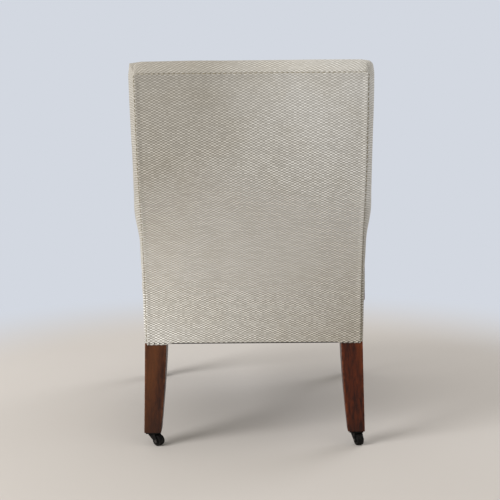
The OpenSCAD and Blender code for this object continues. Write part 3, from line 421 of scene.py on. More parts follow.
# Arms: shaped from mahogany, level at the front under the pad and dipping to the upright behind, where a
# screw from the back of the leg holds them. They splay outward and end in a rounded nose.
ARM_H, ARM_ROOT_Z, ARM_ROOT_T, ARM_T = 600, 512, 40, 30
ARM_ROOT_W, ARM_W, ARM_ROOT_IN, ARM_ROOT_RUN, ARM_ROUND, JOINT_GAP = 38, 46, 7, 34, 8, 0.1
ARM_ROOT_X, ARM_FRONT_X = REAR_HALF_W + 12, FRONT_HALF_W + 18
ARM_PAD_L, ARM_PAD_H = 232, 30
ARM_FRONT_Y = FRONT_FACE - SEAT_SWELL + 122
ARM_BACK_Y = WAIST_Y - WAIST_T
ARM_RISE_Y = ARM_FRONT_Y + ARM_PAD_L + 44


def arm_reach(y):
    return (ARM_BACK_Y - y) / (ARM_BACK_Y - ARM_RISE_Y)


def arm_top_z(y):
    return mix(ARM_ROOT_Z + ARM_ROOT_T, ARM_H, ease(arm_reach(y)))


def arm_outer(y):
    root = ARM_ROOT_X - ARM_ROOT_IN * ease((y - ARM_BACK_Y + ARM_ROOT_RUN) / ARM_ROOT_RUN)
    return mix(root, ARM_FRONT_X, limit((ARM_BACK_Y - y) / (ARM_BACK_Y - ARM_FRONT_Y - ARM_W / 2)))


def arm_width(y):
    return mix(ARM_ROOT_W, ARM_W, ease(arm_reach(y)))


def arm_rings(grow=0.0):
    """Rings from the rounded nose back to the upright, grow millimetres larger all round."""
    nose, thick = ARM_W / 2, ARM_T / 2
    rings = []
    for d in [nose * (1 - math.cos(math.radians(a))) for a in (4, 12, 20, 30, 40, 50, 60, 70, 80, 90)]:
        side = math.sqrt(max(0, nose ** 2 - (nose - d) ** 2)) + grow
        tall = math.sqrt(max(0, thick ** 2 - max(0, thick - d) ** 2)) + grow
        mid_x, mid_z = ARM_FRONT_X - nose, ARM_H - thick
        rings.append([mid_x - side, mid_x + side, mid_z - tall, mid_z + tall, ARM_FRONT_Y + d - grow])
    for y in span(ARM_FRONT_Y + nose + 8, ARM_BACK_Y + 8, 44):
        low = mix(ARM_ROOT_Z, ARM_H - ARM_T, ease(arm_reach(y)))
        rings.append([arm_outer(y) - arm_width(y) - grow, arm_outer(y) + grow,
                      low - grow, arm_top_z(y) + grow, y])
    return rings


def arm_points(grow, gap):
    """An arm that ends gap millimetres in front of the upright."""
    points, faces, arris = bar(arm_rings(grow), ARM_ROUND + grow, "xzy")
    return [[p[0], min(p[1], front_y(p[2]) - gap), p[2]] for p in points], faces, arris


for side, shift in (("left", (0.9, 5.2, 3.1)), ("right", (3.6, 2.5, 0.7))):
    arm = mahogany("arm", "arm", side, arm_points(0, JOINT_GAP), GRAIN_BACK, shift)
    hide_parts("arm_" + side)
    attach(arm, "root")

# Arm supports: mahogany, sawn to a forward sweep, waisted below the arm and flared to meet it. A dowel
# enters the arm, and two screws from inside the side rail hold the foot.
SUPPORT_W, SUPPORT_LIP, SUPPORT_IN, SUPPORT_SWEEP = 17, 4, 8, 46
SUPPORT_FOOT_L, SUPPORT_WAIST_L, SUPPORT_FLARE, SUPPORT_ROUND = 36, 25, 9, 5
SUPPORT_FOOT_Y, SUPPORT_FOOT_Z, SUPPORT_TOP_Z = ARM_FRONT_Y + SUPPORT_SWEEP + 26, RAIL_Z + 10, ARM_H - ARM_T


def rail_x(y):
    """Outer face of a side rail."""
    return mix(FRONT_HALF_W, REAR_HALF_W, (y - FRONT_LEG_BACK) / (JOINT_Y - FRONT_LEG_BACK))


def support_y(z):
    return SUPPORT_FOOT_Y - SUPPORT_SWEEP * ease((z - RAIL_TOP + 20) / (SUPPORT_TOP_Z - RAIL_TOP + 20))


def support_out(z):
    return mix(rail_x(SUPPORT_FOOT_Y) + SUPPORT_W, ARM_FRONT_X - SUPPORT_IN,
               ease((z - RAIL_TOP) / (SUPPORT_TOP_Z - RAIL_TOP)))


def support_points(grow):
    """An arm support, grow millimetres larger all round, fitted to the side rail at its foot."""
    rings = []
    heights = span(SUPPORT_FOOT_Z + 3, RAIL_TOP, 5) + span(RAIL_TOP + 0.3, SUPPORT_TOP_Z, 30)
    for z in [SUPPORT_FOOT_Z] + heights:
        t = (z - SUPPORT_FOOT_Z) / (SUPPORT_TOP_Z - SUPPORT_FOOT_Z)
        rounded = 2 * (z == SUPPORT_FOOT_Z)
        deep = mix(SUPPORT_FOOT_L, SUPPORT_WAIST_L, ease(t * 1.6)) + SUPPORT_FLARE * ease((t - 0.72) / 0.28)
        half, outer = deep / 2 + grow - rounded, support_out(z) + grow - rounded
        rings.append([support_out(z) - SUPPORT_W - SUPPORT_LIP - grow, outer, support_y(z) - half,
                      support_y(z) + half, z])
    points, faces, arris = bar(rings, SUPPORT_ROUND + grow, "xyz")
    fitted = [[max(x, rail_x(y) + JOINT_GAP - grow) if z < RAIL_TOP + JOINT_GAP else x, y, z]
              for x, y, z in points]
    return fitted, faces, arris


for side, shift in (("left", (5.9, 1.2, 2.1)), ("right", (2.6, 4.5, 3.7))):
    support = mahogany("arm_support", "support", side, support_points(0), GRAIN_UP, shift)
    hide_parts("arm_support_" + side)
    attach(support, "root")

# Seat webbing: five straps of woven jute each way, one layer over the other, strained across under the
# seat rails. Each strap is 50 mm wide, with a darker line woven near either edge.
STRAP_T, STRAP_W, STRAP_PITCH = 1.2, 50, 70
HESSIAN_T, BACK_PAD_GAP, BACK_PAD_RIM = 1, 1, 6
BACK_BASE = 2 * STRAP_T + HESSIAN_T + BACK_PAD_GAP + BACK_PAD_RIM
SEAT_BACK_Y = front_y(SEAT_H) - BACK_BASE - CLOTH_T - 0.5
SPRING_MID_Y = (FRONT_FACE + SEAT_BACK_Y) / 2 + 4


def coarse_weave(name, light, dark, thread_mm, stripe_mm=0.0):
    """Jute and hessian: a plain weave of thick and thin bast yarns, dull, brown and open, drawn at the
    yarn's real spacing. A stripe is a few darker warps at that distance from the middle of a strap."""
    material, tree = start_finish(name, Roughness=0.9)
    uv = add(tree, "ShaderNodeUVMap", uv_map="cloth")
    x = add(tree, "ShaderNodeSeparateXYZ", {0: uv}, None)
    wave = 2 * math.pi / (thread_mm * MM)
    ridges = []
    for axis in (0, 1):
        angle = calc(tree, "MULTIPLY", x.outputs[axis], wave)
        ridges.append(calc(tree, "SINE", angle))
    cross = calc(tree, "MULTIPLY", ridges[0], ridges[1])
    cross = ranged(tree, cross, -1.0, 1.0)
    slub = add(tree, "ShaderNodeMapping", {0: uv, 3: (60, 900, 1)})
    slub = clouds(tree, slub, 1.0, 2.0)
    slub = ranged(tree, slub, 0.3, 0.7, 0.7, 1.15)
    tone = calc(tree, "MULTIPLY", cross, slub)
    colour = blend(tree, tone, dark, light)
    if stripe_mm:
        away = calc(tree, "ABSOLUTE", x.outputs[1])
        line = calc(tree, "COMPARE", away, stripe_mm * MM, 1.2 * MM)
        line = calc(tree, "MULTIPLY", line, 0.6)
        colour = blend(tree, line, colour, "#4a3320")
    surface(tree, colour, cross, strength=0.8, deep=0.3)
    return material


jute = coarse_weave("woven_jute_webbing", "#b59a6b", "#7c6340", thread_mm=1.6, stripe_mm=19)


def straps(lines, width, thick):
    """Flat straps, one along each line of (middle, way across, way up), with their places on the cloth."""
    section = ((-0.5, 0), (-0.17, 0), (0.17, 0), (0.5, 0), (0.5, 1), (0.17, 1), (-0.17, 1), (-0.5, 1))
    points, faces, uv = [], [], []
    for line in lines:
        first, run = len(points), 0.0
        for i, (middle, across, up) in enumerate(line):
            if i:
                run += math.dist(middle, line[i - 1][0])
            for v, h in section:
                points.append([middle[k] + across[k] * v * width + up[k] * h * thick for k in range(3)])
                uv.append((run, v * width))
        for i in range(len(line) - 1):
            a = first + i * 8
            faces += [[a + k, a + (k + 1) % 8, a + 8 + (k + 1) % 8, a + 8 + k] for k in range(8)]
        end = first + (len(line) - 1) * 8
        for a in (first, end):
            faces += [[a, a + 1, a + 6, a + 7], [a + 1, a + 2, a + 5, a + 6], [a + 2, a + 3, a + 4, a + 5]]
    return points, faces, uv


web_low = RAIL_Z - 2 * STRAP_T + 0.02
lines = []
for k in range(-2, 3):
    x = k * STRAP_PITCH
    lines.append([((x, y, web_low), (1, 0, 0), (0, 0, 1)) for y in span(FRONT_FACE + 7, JOINT_Y + 25, 60)])
    y = SPRING_MID_Y + k * STRAP_PITCH
    reach = rail_x(y) - 10
    lines.append([((x, y, RAIL_Z - STRAP_T), (0, 1, 0), (0, 0, 1)) for x in span(-reach, reach, 60)])
points, faces, uv = straps(lines, STRAP_W, STRAP_T - 0.05)
webbing = place("seat_webbing_straps", points, faces, jute, uv)
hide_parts("seat_webbing")
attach(webbing, "root")

# Seat springs: nine hourglass springs of coppered steel wire on the crossings of the webbing, each one
# unbroken wire of four turns, wide at both ends and narrow at the waist.
SPRING_RISE, SPRING_END, SPRING_POINTS = 51, 2.1, 193


def convert(source):
    """Turns what an object's modifiers make into a plain mesh, and drops the modifiers."""
    bpy.context.view_layer.update()
    result = bpy.data.meshes.new_from_object(source.evaluated_get(bpy.context.evaluated_depsgraph_get()))
    source.modifiers.clear()
    source.data = result
    return source


def grow(name, tree, points, edges, sizes):
    """Runs a geometry tree on points in millimetres and returns its result as a plain object."""
    mesh = bpy.data.meshes.new(name)
    mesh.from_pydata([[c * MM for c in p] for p in points], edges, [])
    made = bpy.data.objects.new(name, mesh)
    bpy.context.scene.collection.objects.link(made)
    modifier = made.modifiers.new("grow", "NODES")
    modifier.node_group = tree
    for item in tree.interface.items_tree:
        if item.in_out == "INPUT" and item.name in sizes:
            modifier[item.identifier] = sizes[item.name]
    return convert(made)


def set_on(tree, spots, piece, material, **more):
    """Ends a tree with the piece on each of its spots, made real, smooth and of one material."""
    made = add(tree, "GeometryNodeInstanceOnPoints", {"Points": spots, "Instance": piece, **more})
    made = add(tree, "GeometryNodeRealizeInstances", {"Geometry": made})
    made = add(tree, "GeometryNodeSetShadeSmooth", {"Geometry": made})
    made = add(tree, "GeometryNodeSetMaterial", {"Geometry": made, "Material": material})
    add(tree, "NodeGroupOutput", {"Geometry": made}, None)


spring_steel = dull_steel("coppered_spring_wire", "#8a5a3c", "#4c3a2e", rough=0.4)
spring_sizes = {"Wire radius": 1.9 * MM, "End radius": 40 * MM, "Waist radius": 27 * MM,
                "Low": (RAIL_Z + SPRING_END) * MM, "High": (RAIL_TOP + SPRING_RISE - SPRING_END) * MM,
                "Turns": 4.0, "Spacing": 140 * MM}
tree, given = new_tree("hourglass_springs", spring_sizes)
share = calc(tree, "DIVIDE", add(tree, "GeometryNodeInputIndex"), float(SPRING_POINTS - 1))
angle = calc(tree, "MULTIPLY", share, given["Turns"])
angle = calc(tree, "MULTIPLY", angle, 2 * math.pi)
waist = calc(tree, "MULTIPLY_ADD", share, 2.0, -1.0)
waist = calc(tree, "ABSOLUTE", waist)
waist = calc(tree, "POWER", waist, 1.4)
reach = ranged(tree, waist, 0.0, 1.0, given["Waist radius"], given["End radius"])
coil = []
for turn in ("COSINE", "SINE"):
    part = calc(tree, turn, angle)
    coil.append(calc(tree, "MULTIPLY", part, reach))
height = ranged(tree, share, 0.0, 1.0, given["Low"], given["High"])
spot = add(tree, "ShaderNodeCombineXYZ", {0: coil[0], 1: coil[1], 2: height})
wire = add(tree, "GeometryNodeMeshLine", {"Count": SPRING_POINTS})
wire = add(tree, "GeometryNodeSetPosition", {"Geometry": wire, "Position": spot})
wire = add(tree, "GeometryNodeMeshToCurve", {"Mesh": wire})
round_wire = add(tree, "GeometryNodeCurvePrimitiveCircle", {"Resolution": 10, "Radius": given["Wire radius"]})
wire = add(tree, "GeometryNodeCurveToMesh", {"Curve": wire, "Profile Curve": round_wire, "Fill Caps": True})
side = calc(tree, "MULTIPLY", given["Spacing"], 2.0)
spread = add(tree, "GeometryNodeMeshGrid", {"Size X": side, "Size Y": side, "Vertices X": 3, "Vertices Y": 3})
spread = add(tree, "GeometryNodeTransform", {"Geometry": spread, "Translation": (0, SPRING_MID_Y * MM, 0)})
set_on(tree, spread, wire, spring_steel)
springs = grow("hourglass_seat_springs", tree, [(0, 0, 0)], [], spring_sizes)
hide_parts("seat_springs")
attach(springs, "root")

# Seat cover: woven upholstery cloth over the stuffing, pulled down over the rails on three sides and
# tacked underneath. It is cut round the arm supports and pleated at the two front corners.
SEAT_ROLL_R, SEAT_CROWN, SEAT_CORNER, HEM_CORNER, SEAT_REAR_TURN = 34, 24, 6, 1.2, 13
SEAT_SIDE_Z = SEAT_H - SEAT_CROWN - SEAT_ROLL_R
COVER_Z = RAIL_Z - 2 * STRAP_T - 1.6
HEM_SWELL = CLOTH_T + 1.5


def float_weave(name):
    """Figured cotton cloth, woven with short weft floats that stand proud of a darker ground in a
    bird's-eye: 12.3 mm from float to float, rows 3.25 mm apart and set over by half each time. It is
    matt, with a faint bloom at a low angle, and worn and yellowed unevenly. Light and shade are painted
    into its colour: lighter where x and the height above 465 mm have opposite signs, darker where they
    share one."""
    float_mm, row_mm, yarn_mm, middle_tone, saddle_shade_mid_mm = 12.3, 3.25, 1.08, 0.38, 465
    material, tree = start_finish(name, Roughness=0.92, Sheen_Weight=0.12, Sheen_Roughness=0.5,
                                  Specular_IOR_Level=0.3)
    uv = add(tree, "ShaderNodeUVMap", uv_map="cloth")
    wander = clouds(tree, uv, 55.0, 2.0, out=1)
    wander = add(tree, "ShaderNodeVectorMath", {0: wander, 1: (0.5, 0.5, 0.5)}, operation="SUBTRACT")
    wander = add(tree, "ShaderNodeVectorMath", {0: wander, "Scale": 2.2 * MM}, operation="SCALE")
    drawn = add(tree, "ShaderNodeVectorMath", {0: uv, 1: wander}, operation="ADD")
    strain = clouds(tree, uv, 11.0, 1.0, out=1)
    strain = add(tree, "ShaderNodeVectorMath", {0: strain, 1: (9 * MM, 2.5 * MM, 0)}, operation="MULTIPLY")
    drawn = add(tree, "ShaderNodeVectorMath", {0: drawn, 1: strain}, operation="ADD")
    part = add(tree, "ShaderNodeSeparateXYZ", {0: drawn}, None)
    rows = calc(tree, "DIVIDE", part.outputs[1], row_mm * MM)
    row = calc(tree, "FLOOR", rows)
    up = calc(tree, "SUBTRACT", rows, row)
    odd = calc(tree, "FLOORED_MODULO", row, 2.0)
    shift = calc(tree, "MULTIPLY", odd, 0.5)
    along = calc(tree, "DIVIDE", part.outputs[0], float_mm * MM)
    along = calc(tree, "ADD", along, shift)
    place_in_row = calc(tree, "FLOOR", along)
    wave = calc(tree, "MULTIPLY", along, 2 * math.pi)
    wave = calc(tree, "SINE", wave)
    seen = ranged(tree, wave, -0.45, 0.45, soft=True)
    arch = calc(tree, "MULTIPLY", up, math.pi)
    arch = calc(tree, "SINE", arch)
    arch = calc(tree, "POWER", arch, 0.6)
    raised = calc(tree, "MULTIPLY", seen, arch)
    spot = add(tree, "ShaderNodeCombineXYZ", {0: place_in_row, 1: row})
    chance = add(tree, "ShaderNodeTexWhiteNoise", {"Vector": spot}, noise_dimensions="2D")
    chance = ranged(tree, chance, 0.0, 1.0, 0.6, 1.05)
    tone = calc(tree, "MULTIPLY", raised, chance)
    yarns = calc(tree, "MULTIPLY", part.outputs[0], 2 * math.pi / (yarn_mm * MM))
    yarns = calc(tree, "SINE", yarns)
    picks = calc(tree, "MULTIPLY", part.outputs[1], 2 * math.pi / (yarn_mm * MM))
    picks = calc(tree, "SINE", picks)
    ground = calc(tree, "MULTIPLY", yarns, picks)
    tone = calc(tree, "MULTIPLY_ADD", ground, 0.09, tone)
    at = add(tree, "ShaderNodeTexCoord", out=3)
    on_chair = add(tree, "ShaderNodeSeparateXYZ", {0: at}, None)
    rubbed = ranged(tree, on_chair.outputs[2], 640 * MM, 900 * MM, 1.12, 0.62)
    tone = calc(tree, "ADD", tone, -middle_tone)
    tone = calc(tree, "MULTIPLY_ADD", tone, rubbed, middle_tone)
    colour = blend(tree, tone, "#8f897e", "#e6e1d7")
    age = clouds(tree, at, 9.0, 3.0, Roughness=0.6)
    age = ranged(tree, age, 0.42, 0.68, 0.0, 0.35, soft=True)
    aged = blend(tree, age, (1, 1, 1, 1), (0.90, 0.87, 0.81, 1))
    colour = blend(tree, 1.0, colour, aged, "MULTIPLY")
    # Painted light and shade: the colour is lighter on the +x side below 465 mm and on the -x side above it,
    # and darker on the other two quarters, as the lamp catches the hollow of the back.
    height = calc(tree, "SUBTRACT", on_chair.outputs[2], saddle_shade_mid_mm * MM)
    painted_saddle_shade = calc(tree, "MULTIPLY", on_chair.outputs[0], height)
    painted_saddle_shade = ranged(tree, painted_saddle_shade, -0.045, 0.045)
    painted_light_and_floor_fade = blend(tree, painted_saddle_shade, (1.16, 1.18, 1.21, 1), (0.79, 0.775, 0.745, 1))
    colour = blend(tree, 1.0, colour, painted_light_and_floor_fade, "MULTIPLY")
    relief = calc(tree, "MULTIPLY_ADD", ground, 0.12, raised)
    surface(tree, colour, relief, strength=0.16, deep=0.5)
    return material


cover_cloth = float_weave("float_woven_cotton")


def roll_steps(n):
    return [(1.0, math.cos(QUARTER * i / n), math.sin(QUARTER * i / n)) for i in range(n + 1)]


def lengthways(n_roll, n_flat):
    """From the front to the back, closer together near the back, where the cloth turns in."""
    return roll_steps(n_roll) + [(2 * (1 - i / n_flat) ** 1.3 - 1, 0.0, 1.0) for i in range(1, n_flat + 1)]


def across(n_roll, n_flat):
    half = roll_steps(n_roll) + [(1 - i / n_flat, 0.0, 1.0) for i in range(1, n_flat)]
    return half + [(0.0, 0.0, 1.0)] + [(-a, -b, c) for a, b, c in reversed(half)]


def rim_path(rows, cols):
    return [(i, 0) for i in range(rows - 1, -1, -1)] + [(0, j) for j in range(1, cols)] \
        + [(i, cols - 1) for i in range(1, rows)]


def settle(grid, pressure, cap, held=2):
    """Lets a cover held along its edges swell over what fills it: a short cloth simulation, with the way
    that each point may move capped in millimetres, and hardly any of it inwards, where the stuffing is.
    Grid is an array of points in millimetres."""
    frames, most_inward = 20, 0.2
    rows, cols = grid.shape[:2]
    rest = grid.reshape(-1, 3) * MM
    mesh = bpy.data.meshes.new("settling")
    mesh.from_pydata(rest.tolist(), [], [face[::-1] for face in grid_faces(rows, cols)])
    sheet = bpy.data.objects.new("settling", mesh)
    bpy.context.scene.collection.objects.link(sheet)
    outward = np.zeros(rows * cols * 3)
    mesh.vertices.foreach_get("normal", outward)
    outward = outward.reshape(-1, 3)
    edge = [i * cols + j for i in range(rows) for j in range(cols)
            if min(i, j, rows - 1 - i, cols - 1 - j) < held]
    sheet.vertex_groups.new(name="held").add(edge, 1.0, "REPLACE")
    cloth = sheet.modifiers.new("cloth", "CLOTH")
    cloth.settings.vertex_group_mass = "held"
    cloth.settings.quality = 5
    cloth.settings.mass = 0.3
    cloth.settings.tension_stiffness = cloth.settings.compression_stiffness = 12
    cloth.settings.bending_stiffness = 0.8
    cloth.settings.use_pressure = True
    cloth.settings.uniform_pressure_force = pressure
    cloth.settings.effector_weights.gravity = 0
    cloth.collision_settings.use_collision = False
    for step in range(1, frames + 1):
        bpy.context.scene.frame_set(step)
    found = np.zeros(rows * cols * 3)
    shown = sheet.evaluated_get(bpy.context.evaluated_depsgraph_get())
    shown.data.vertices.foreach_get("co", found)
    bpy.context.scene.frame_set(1)
    bpy.data.objects.remove(sheet)
    move = found.reshape(-1, 3) / MM - rest / MM
    far = np.linalg.norm(move, axis=1, keepdims=True)
    move *= cap * np.tanh(far / cap) / np.maximum(far, 1e-6)
    rise = np.sum(move * outward, axis=1, keepdims=True)
    move += (np.maximum(rise, -most_inward) - rise) * outward
    return grid + move.reshape(grid.shape)


def grid_faces(rows, cols):
    return [[i * cols + j, i * cols + j + 1, (i + 1) * cols + j + 1, (i + 1) * cols + j]
            for i in range(rows - 1) for j in range(cols - 1)]


def roughen(points, size, amount, seed):
    """Moves each point by a smooth random amount, as hand stuffing leaves it. Sizes in millimetres."""
    def lump(p, k):
        return noise.noise(Vector(p) / size + Vector((seed, k * 7.3, seed * 0.4)))
    return [[c + amount * lump(p, k) for k, c in enumerate(p)] for p in points]


def run_along(grid, axis):
    """How far each point of a grid lies from the first one, measured over the surface along one axis."""
    steps = np.cumsum(np.linalg.norm(np.diff(grid, axis=axis), axis=2), axis=axis)
    return np.concatenate([np.zeros_like(steps.take([0], axis=axis)), steps], axis=axis)


def cloth_uv(grid, rings, roll):
    """Where each point of a grid and of its skirt lies on the flat cloth, in millimetres. Within roll steps
    of an edge the threads run on straight to the skirt, and what is too long there goes into the pleat."""
    rows, cols = grid.shape[:2]
    u, v = run_along(grid, 1), run_along(grid, 0)
    u -= u[:, cols // 2:cols // 2 + 1]
    v = v[-1:, :] - v
    u[:roll] = u[roll]
    v[:, :roll], v[:, -roll:] = v[:, roll:roll + 1], v[:, -roll - 1:-roll]
    uv = [(u[i, j], v[i, j]) for i in range(rows) for j in range(cols)]
    path = rim_path(rows, cols)
    run = np.zeros(len(path))
    before = np.array([grid[s] for s in path])
    for ring in rings:
        run += np.linalg.norm(ring - before, axis=1)
        before = ring
        for (i, j), d in zip(path, run):
            out_u = -1 if j == 0 else 1 if j == cols - 1 else 0
            out_v = 1 if i == 0 else 0
            size = math.hypot(out_u, out_v)
            uv.append((u[i, j] + d * out_u / size, v[i, j] + d * out_v / size))
    return uv


def skirted(grid, rings):
    """Points and faces of a grid with a skirt of rings from all of its edges but the last row."""
    rows, cols = grid.shape[:2]
    path = rim_path(rows, cols)
    points = grid.reshape(-1, 3).tolist() + [p for ring in rings for p in ring.tolist()]
    before = [i * cols + j for i, j in path]
    faces = grid_faces(rows, cols)
    for k in range(len(rings)):
        now = [rows * cols + k * len(path) + p for p in range(len(path))]
        faces += [[before[p], now[p], now[p + 1], before[p + 1]] for p in range(len(path) - 1)]
        before = now
    return points, faces


def sheet_piece(name, points, faces, uv, thick=CLOTH_T, inside=(0, 0, 0)):
    """A sheet of cover cloth from its outer face. The faces are turned to look away from inside, and the
    cloth gets its thickness inwards, and rounded edges."""
    made = place(name, points, faces, cover_cloth, uv, sharp=180)
    away = sum((f.center - Vector(inside) * MM).dot(f.normal) * f.area for f in made.data.polygons)
    if away < 0:
        made.data.flip_normals()
    wall = made.modifiers.new("thickness", "SOLIDIFY")
    wall.thickness, wall.offset, wall.use_even_offset = thick * MM, -1, False
    rounded = made.modifiers.new("rounded", "SUBSURF")
    rounded.levels = rounded.render_levels = 1
    return made


def cut_from(piece, cutters):
    """Cuts the shape of solid pieces out of a sheet, and leaves both as plain meshes."""
    for points, faces, _ in cutters:
        tool = place("cutter", points, faces, cover_cloth)
        cut = piece.modifiers.new("cut", "BOOLEAN")
        cut.object, cut.operation, cut.solver = tool, "DIFFERENCE", "EXACT"
        convert(piece)
        bpy.data.objects.remove(tool)
    return piece


def both(cutter):
    points, faces, arris = cutter
    return [(points, faces, arris), (mirrored(points), faces, arris)]


def seat_line(y):
    return FRONT_HALF_W if y < FRONT_LEG_BACK else rail_x(y)


def seat_point(row, col, inset, drop):
    """A point of the seat, or of its skirt where drop is over 0, as far inside the cloth as inset."""
    r = SEAT_ROLL_R - inset
    swell = mix(SEAT_SWELL, HEM_SWELL, drop) - inset
    cut = mix(SEAT_CORNER, HEM_CORNER, drop) * col[1] * row[1]
    y = mix(SEAT_BACK_Y, FRONT_FACE - swell + r, (row[0] + 1) / 2) - r * row[1] + abs(cut)
    turn_in = 1 - math.sqrt(1 - limit((y - SEAT_BACK_Y + SEAT_REAR_TURN) / SEAT_REAR_TURN) ** 2)
    side = seat_line(y) + swell - (swell + inset - CLOTH_T - SOFT_GAP) * turn_in
    x = (side - r) * col[0] + r * col[1] - cut
    bow = (1 - (x / side) ** 2) * (1 - (0.85 * row[0]) ** 2)
    z = SEAT_SIDE_Z + r * row[2] * col[2] + SEAT_CROWN * bow * row[2] * col[2]
    return (x, y, mix(SEAT_SIDE_Z, COVER_Z, drop) if drop > 0 else z)


def seat_grid(n_roll, n_flat, inset):
    return np.array([[seat_point(r, c, inset, 0) for c in across(n_roll, n_flat // 2)]
                     for r in lengthways(n_roll, n_flat)])


def hump(away, width):
    """A smooth rise that is 1 in the middle and dies out on both sides."""
    return math.exp(-(away / width) ** 2)


def pleat(drop, from_corner):
    """How far the cloth sinks into the pleat beside a front corner, and how far its lip stands out."""
    groove = 2.4 * hump(from_corner - 7, 2.2)
    lip = 0.9 * hump(from_corner - 12, 4)
    return (lip - groove) * ease(drop * 3) * (1 - 0.5 * drop)


def seat_skirt(rows, cols, rings):
    made = []
    for k in range(1, rings + 1):
        ring = []
        for i, j in rim_path(len(rows), len(cols)):
            p = list(seat_point(rows[i], cols[j], 0, k / rings))
            if i == 0:
                p[1] -= pleat(k / rings, abs(abs(p[0]) - FRONT_HALF_W - HEM_SWELL))
            ring.append(p)
        made.append(np.array(ring))
    return made


SEAT_ROLL_STEPS, SEAT_FLAT_STEPS = 10, 56
seat_rows = lengthways(SEAT_ROLL_STEPS, SEAT_FLAT_STEPS)
seat_cols = across(SEAT_ROLL_STEPS, SEAT_FLAT_STEPS // 2)
seat_top = settle(seat_grid(SEAT_ROLL_STEPS, SEAT_FLAT_STEPS, 0), pressure=4.0, cap=6)
rings = seat_skirt(seat_rows, seat_cols, 14)
points, faces = skirted(seat_top, rings)
uv = cloth_uv(seat_top, rings, SEAT_ROLL_STEPS)
points = roughen(points, size=70, amount=1.1, seed=3)
seat_cover = sheet_piece("seat_cover_cloth", points, faces, uv, inside=(0, 0, 300))
cut_from(seat_cover, both(support_points(0.5)))
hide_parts("seat_cover")
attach(seat_cover, "root")

# Seat stuffing: curled hair and fibre, stitched to the hessian and teased level, which gives the seat
# its crown. It fills the space between the hessian and the cover.


def teased_fibre(name):
    """Curled hair and coir fibre: dull grey-brown strands, tangled, with no one direction."""
    material, tree = start_finish(name, Roughness=0.95)
    spot = add(tree, "ShaderNodeTexCoord", out=3)
    strands = clouds(tree, spot, 420.0, 6.0, Roughness=0.7, Distortion=3.0)
    strands = ranged(tree, strands, 0.35, 0.65)
    colour = blend(tree, strands, "#4d4436", "#a3967f")
    surface(tree, colour, strands, strength=1.0, deep=1.2)
    return material


stuffing = teased_fibre("teased_hair_and_fibre")


def dome_z(x, y):
    """Height of the hessian, down on the rails and up over the springs."""
    e = min(seat_line(y) - abs(x), y - FRONT_FACE, SEAT_BACK_Y - y)
    return RAIL_TOP + SPRING_RISE * ease((e - RAIL_T - 2) / 46)


def rim_loop(rows, cols):
    return [(i, 0) for i in range(rows)] + [(rows - 1, j) for j in range(1, cols)] \
        + [(i, cols - 1) for i in range(rows - 2, -1, -1)] + [(0, j) for j in range(cols - 2, 0, -1)]


def between(top, low):
    """Points and faces of the closed space between two grids of the same size."""
    rows, cols = top.shape[:2]
    count = rows * cols
    edge = [i * cols + j for i, j in rim_loop(rows, cols)]
    faces = grid_faces(rows, cols)
    faces += [[c + count for c in reversed(f)] for f in faces]
    faces += [[edge[k - 1], edge[k], edge[k] + count, edge[k - 1] + count] for k in range(len(edge))]
    return top.reshape(-1, 3).tolist() + low.reshape(-1, 3).tolist(), faces


def flat_uv(points):
    return [(p[0], p[1]) for p in points]


def over_springs(grid, rise):
    return np.array([[(p[0], p[1], dome_z(p[0], p[1]) + rise) for p in row] for row in grid])


UNDER_CLOTH, HESSIAN_IN = CLOTH_T + 0.9, CLOTH_T + 5
pad_low = over_springs(seat_grid(6, 30, HESSIAN_IN), HESSIAN_T + SOFT_GAP)
points, faces = between(seat_grid(6, 30, UNDER_CLOTH), pad_low)
pad = place("seat_stuffing", points, faces, stuffing, sharp=180)
cut_from(pad, both(support_points(1)))
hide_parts("seat_pad")
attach(pad, "root")

# Seat hessian: plain jute canvas stretched over the springs and tacked to the rails. It keeps the hair
# from working down between the springs.
hessian = coarse_weave("jute_hessian", "#b69c6e", "#80694a", thread_mm=2.1)
top = over_springs(seat_grid(6, 44, HESSIAN_IN), HESSIAN_T)
points, faces = between(top, top - (0, 0, HESSIAN_T))
canvas = place("seat_hessian_canvas", points, faces, hessian, flat_uv(points), sharp=180)
cut_from(canvas, both(support_points(1)))
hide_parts("seat_hessian")
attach(canvas, "root")

# Dust cover: black cotton lining that closes the seat from below. It is turned in at its edges, tacked
# under the rails and cut round the legs.
lining, tree = start_finish("black_cotton_lining", Roughness=0.88, Sheen_Weight=0.1)
spot = add(tree, "ShaderNodeTexCoord", out=3)
dust = clouds(tree, spot, 25.0, 5.0)
dust = ranged(tree, dust, 0.4, 0.75)
weave = clouds(tree, spot, 1500.0, 1.0)
colour = blend(tree, dust, "#1f1d1b", "#3a3631")
surface(tree, colour, weave, strength=0.4, deep=0.1)


def lining_outline():
    """Outline of the lining seen from below, notched round each leg."""
    clear, edge_in = 1.2, 3
    front, front_notch, front_in = FRONT_FACE + edge_in, FRONT_LEG_BACK + clear, FRONT_IN - clear
    rear, rear_notch, rear_in = rear_y(RAIL_Z) - 4, JOINT_Y - clear - 1, REAR_HALF_W - LEG_W - clear
    half = [(0, front), (front_in, front), (front_in, front_notch)]
    half += [(rail_x(y) - edge_in, y) for y in (front_notch, rear_notch)]
    half += [(rear_in, rear_notch), (rear_in, rear), (0, rear)]
    return half + [(-x, y) for x, y in reversed(half[1:-1])]


outline = lining_outline()
low, high = COVER_Z + 0.3, RAIL_Z - 2 * STRAP_T - 0.05
points = [(x, y, z) for z in (low, high) for x, y in outline]
lining_piece = place("dust_cover_lining", points, tube_faces(len(outline), 2), lining, flat_uv(points))
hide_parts("dust_cover")
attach(lining_piece, "root")

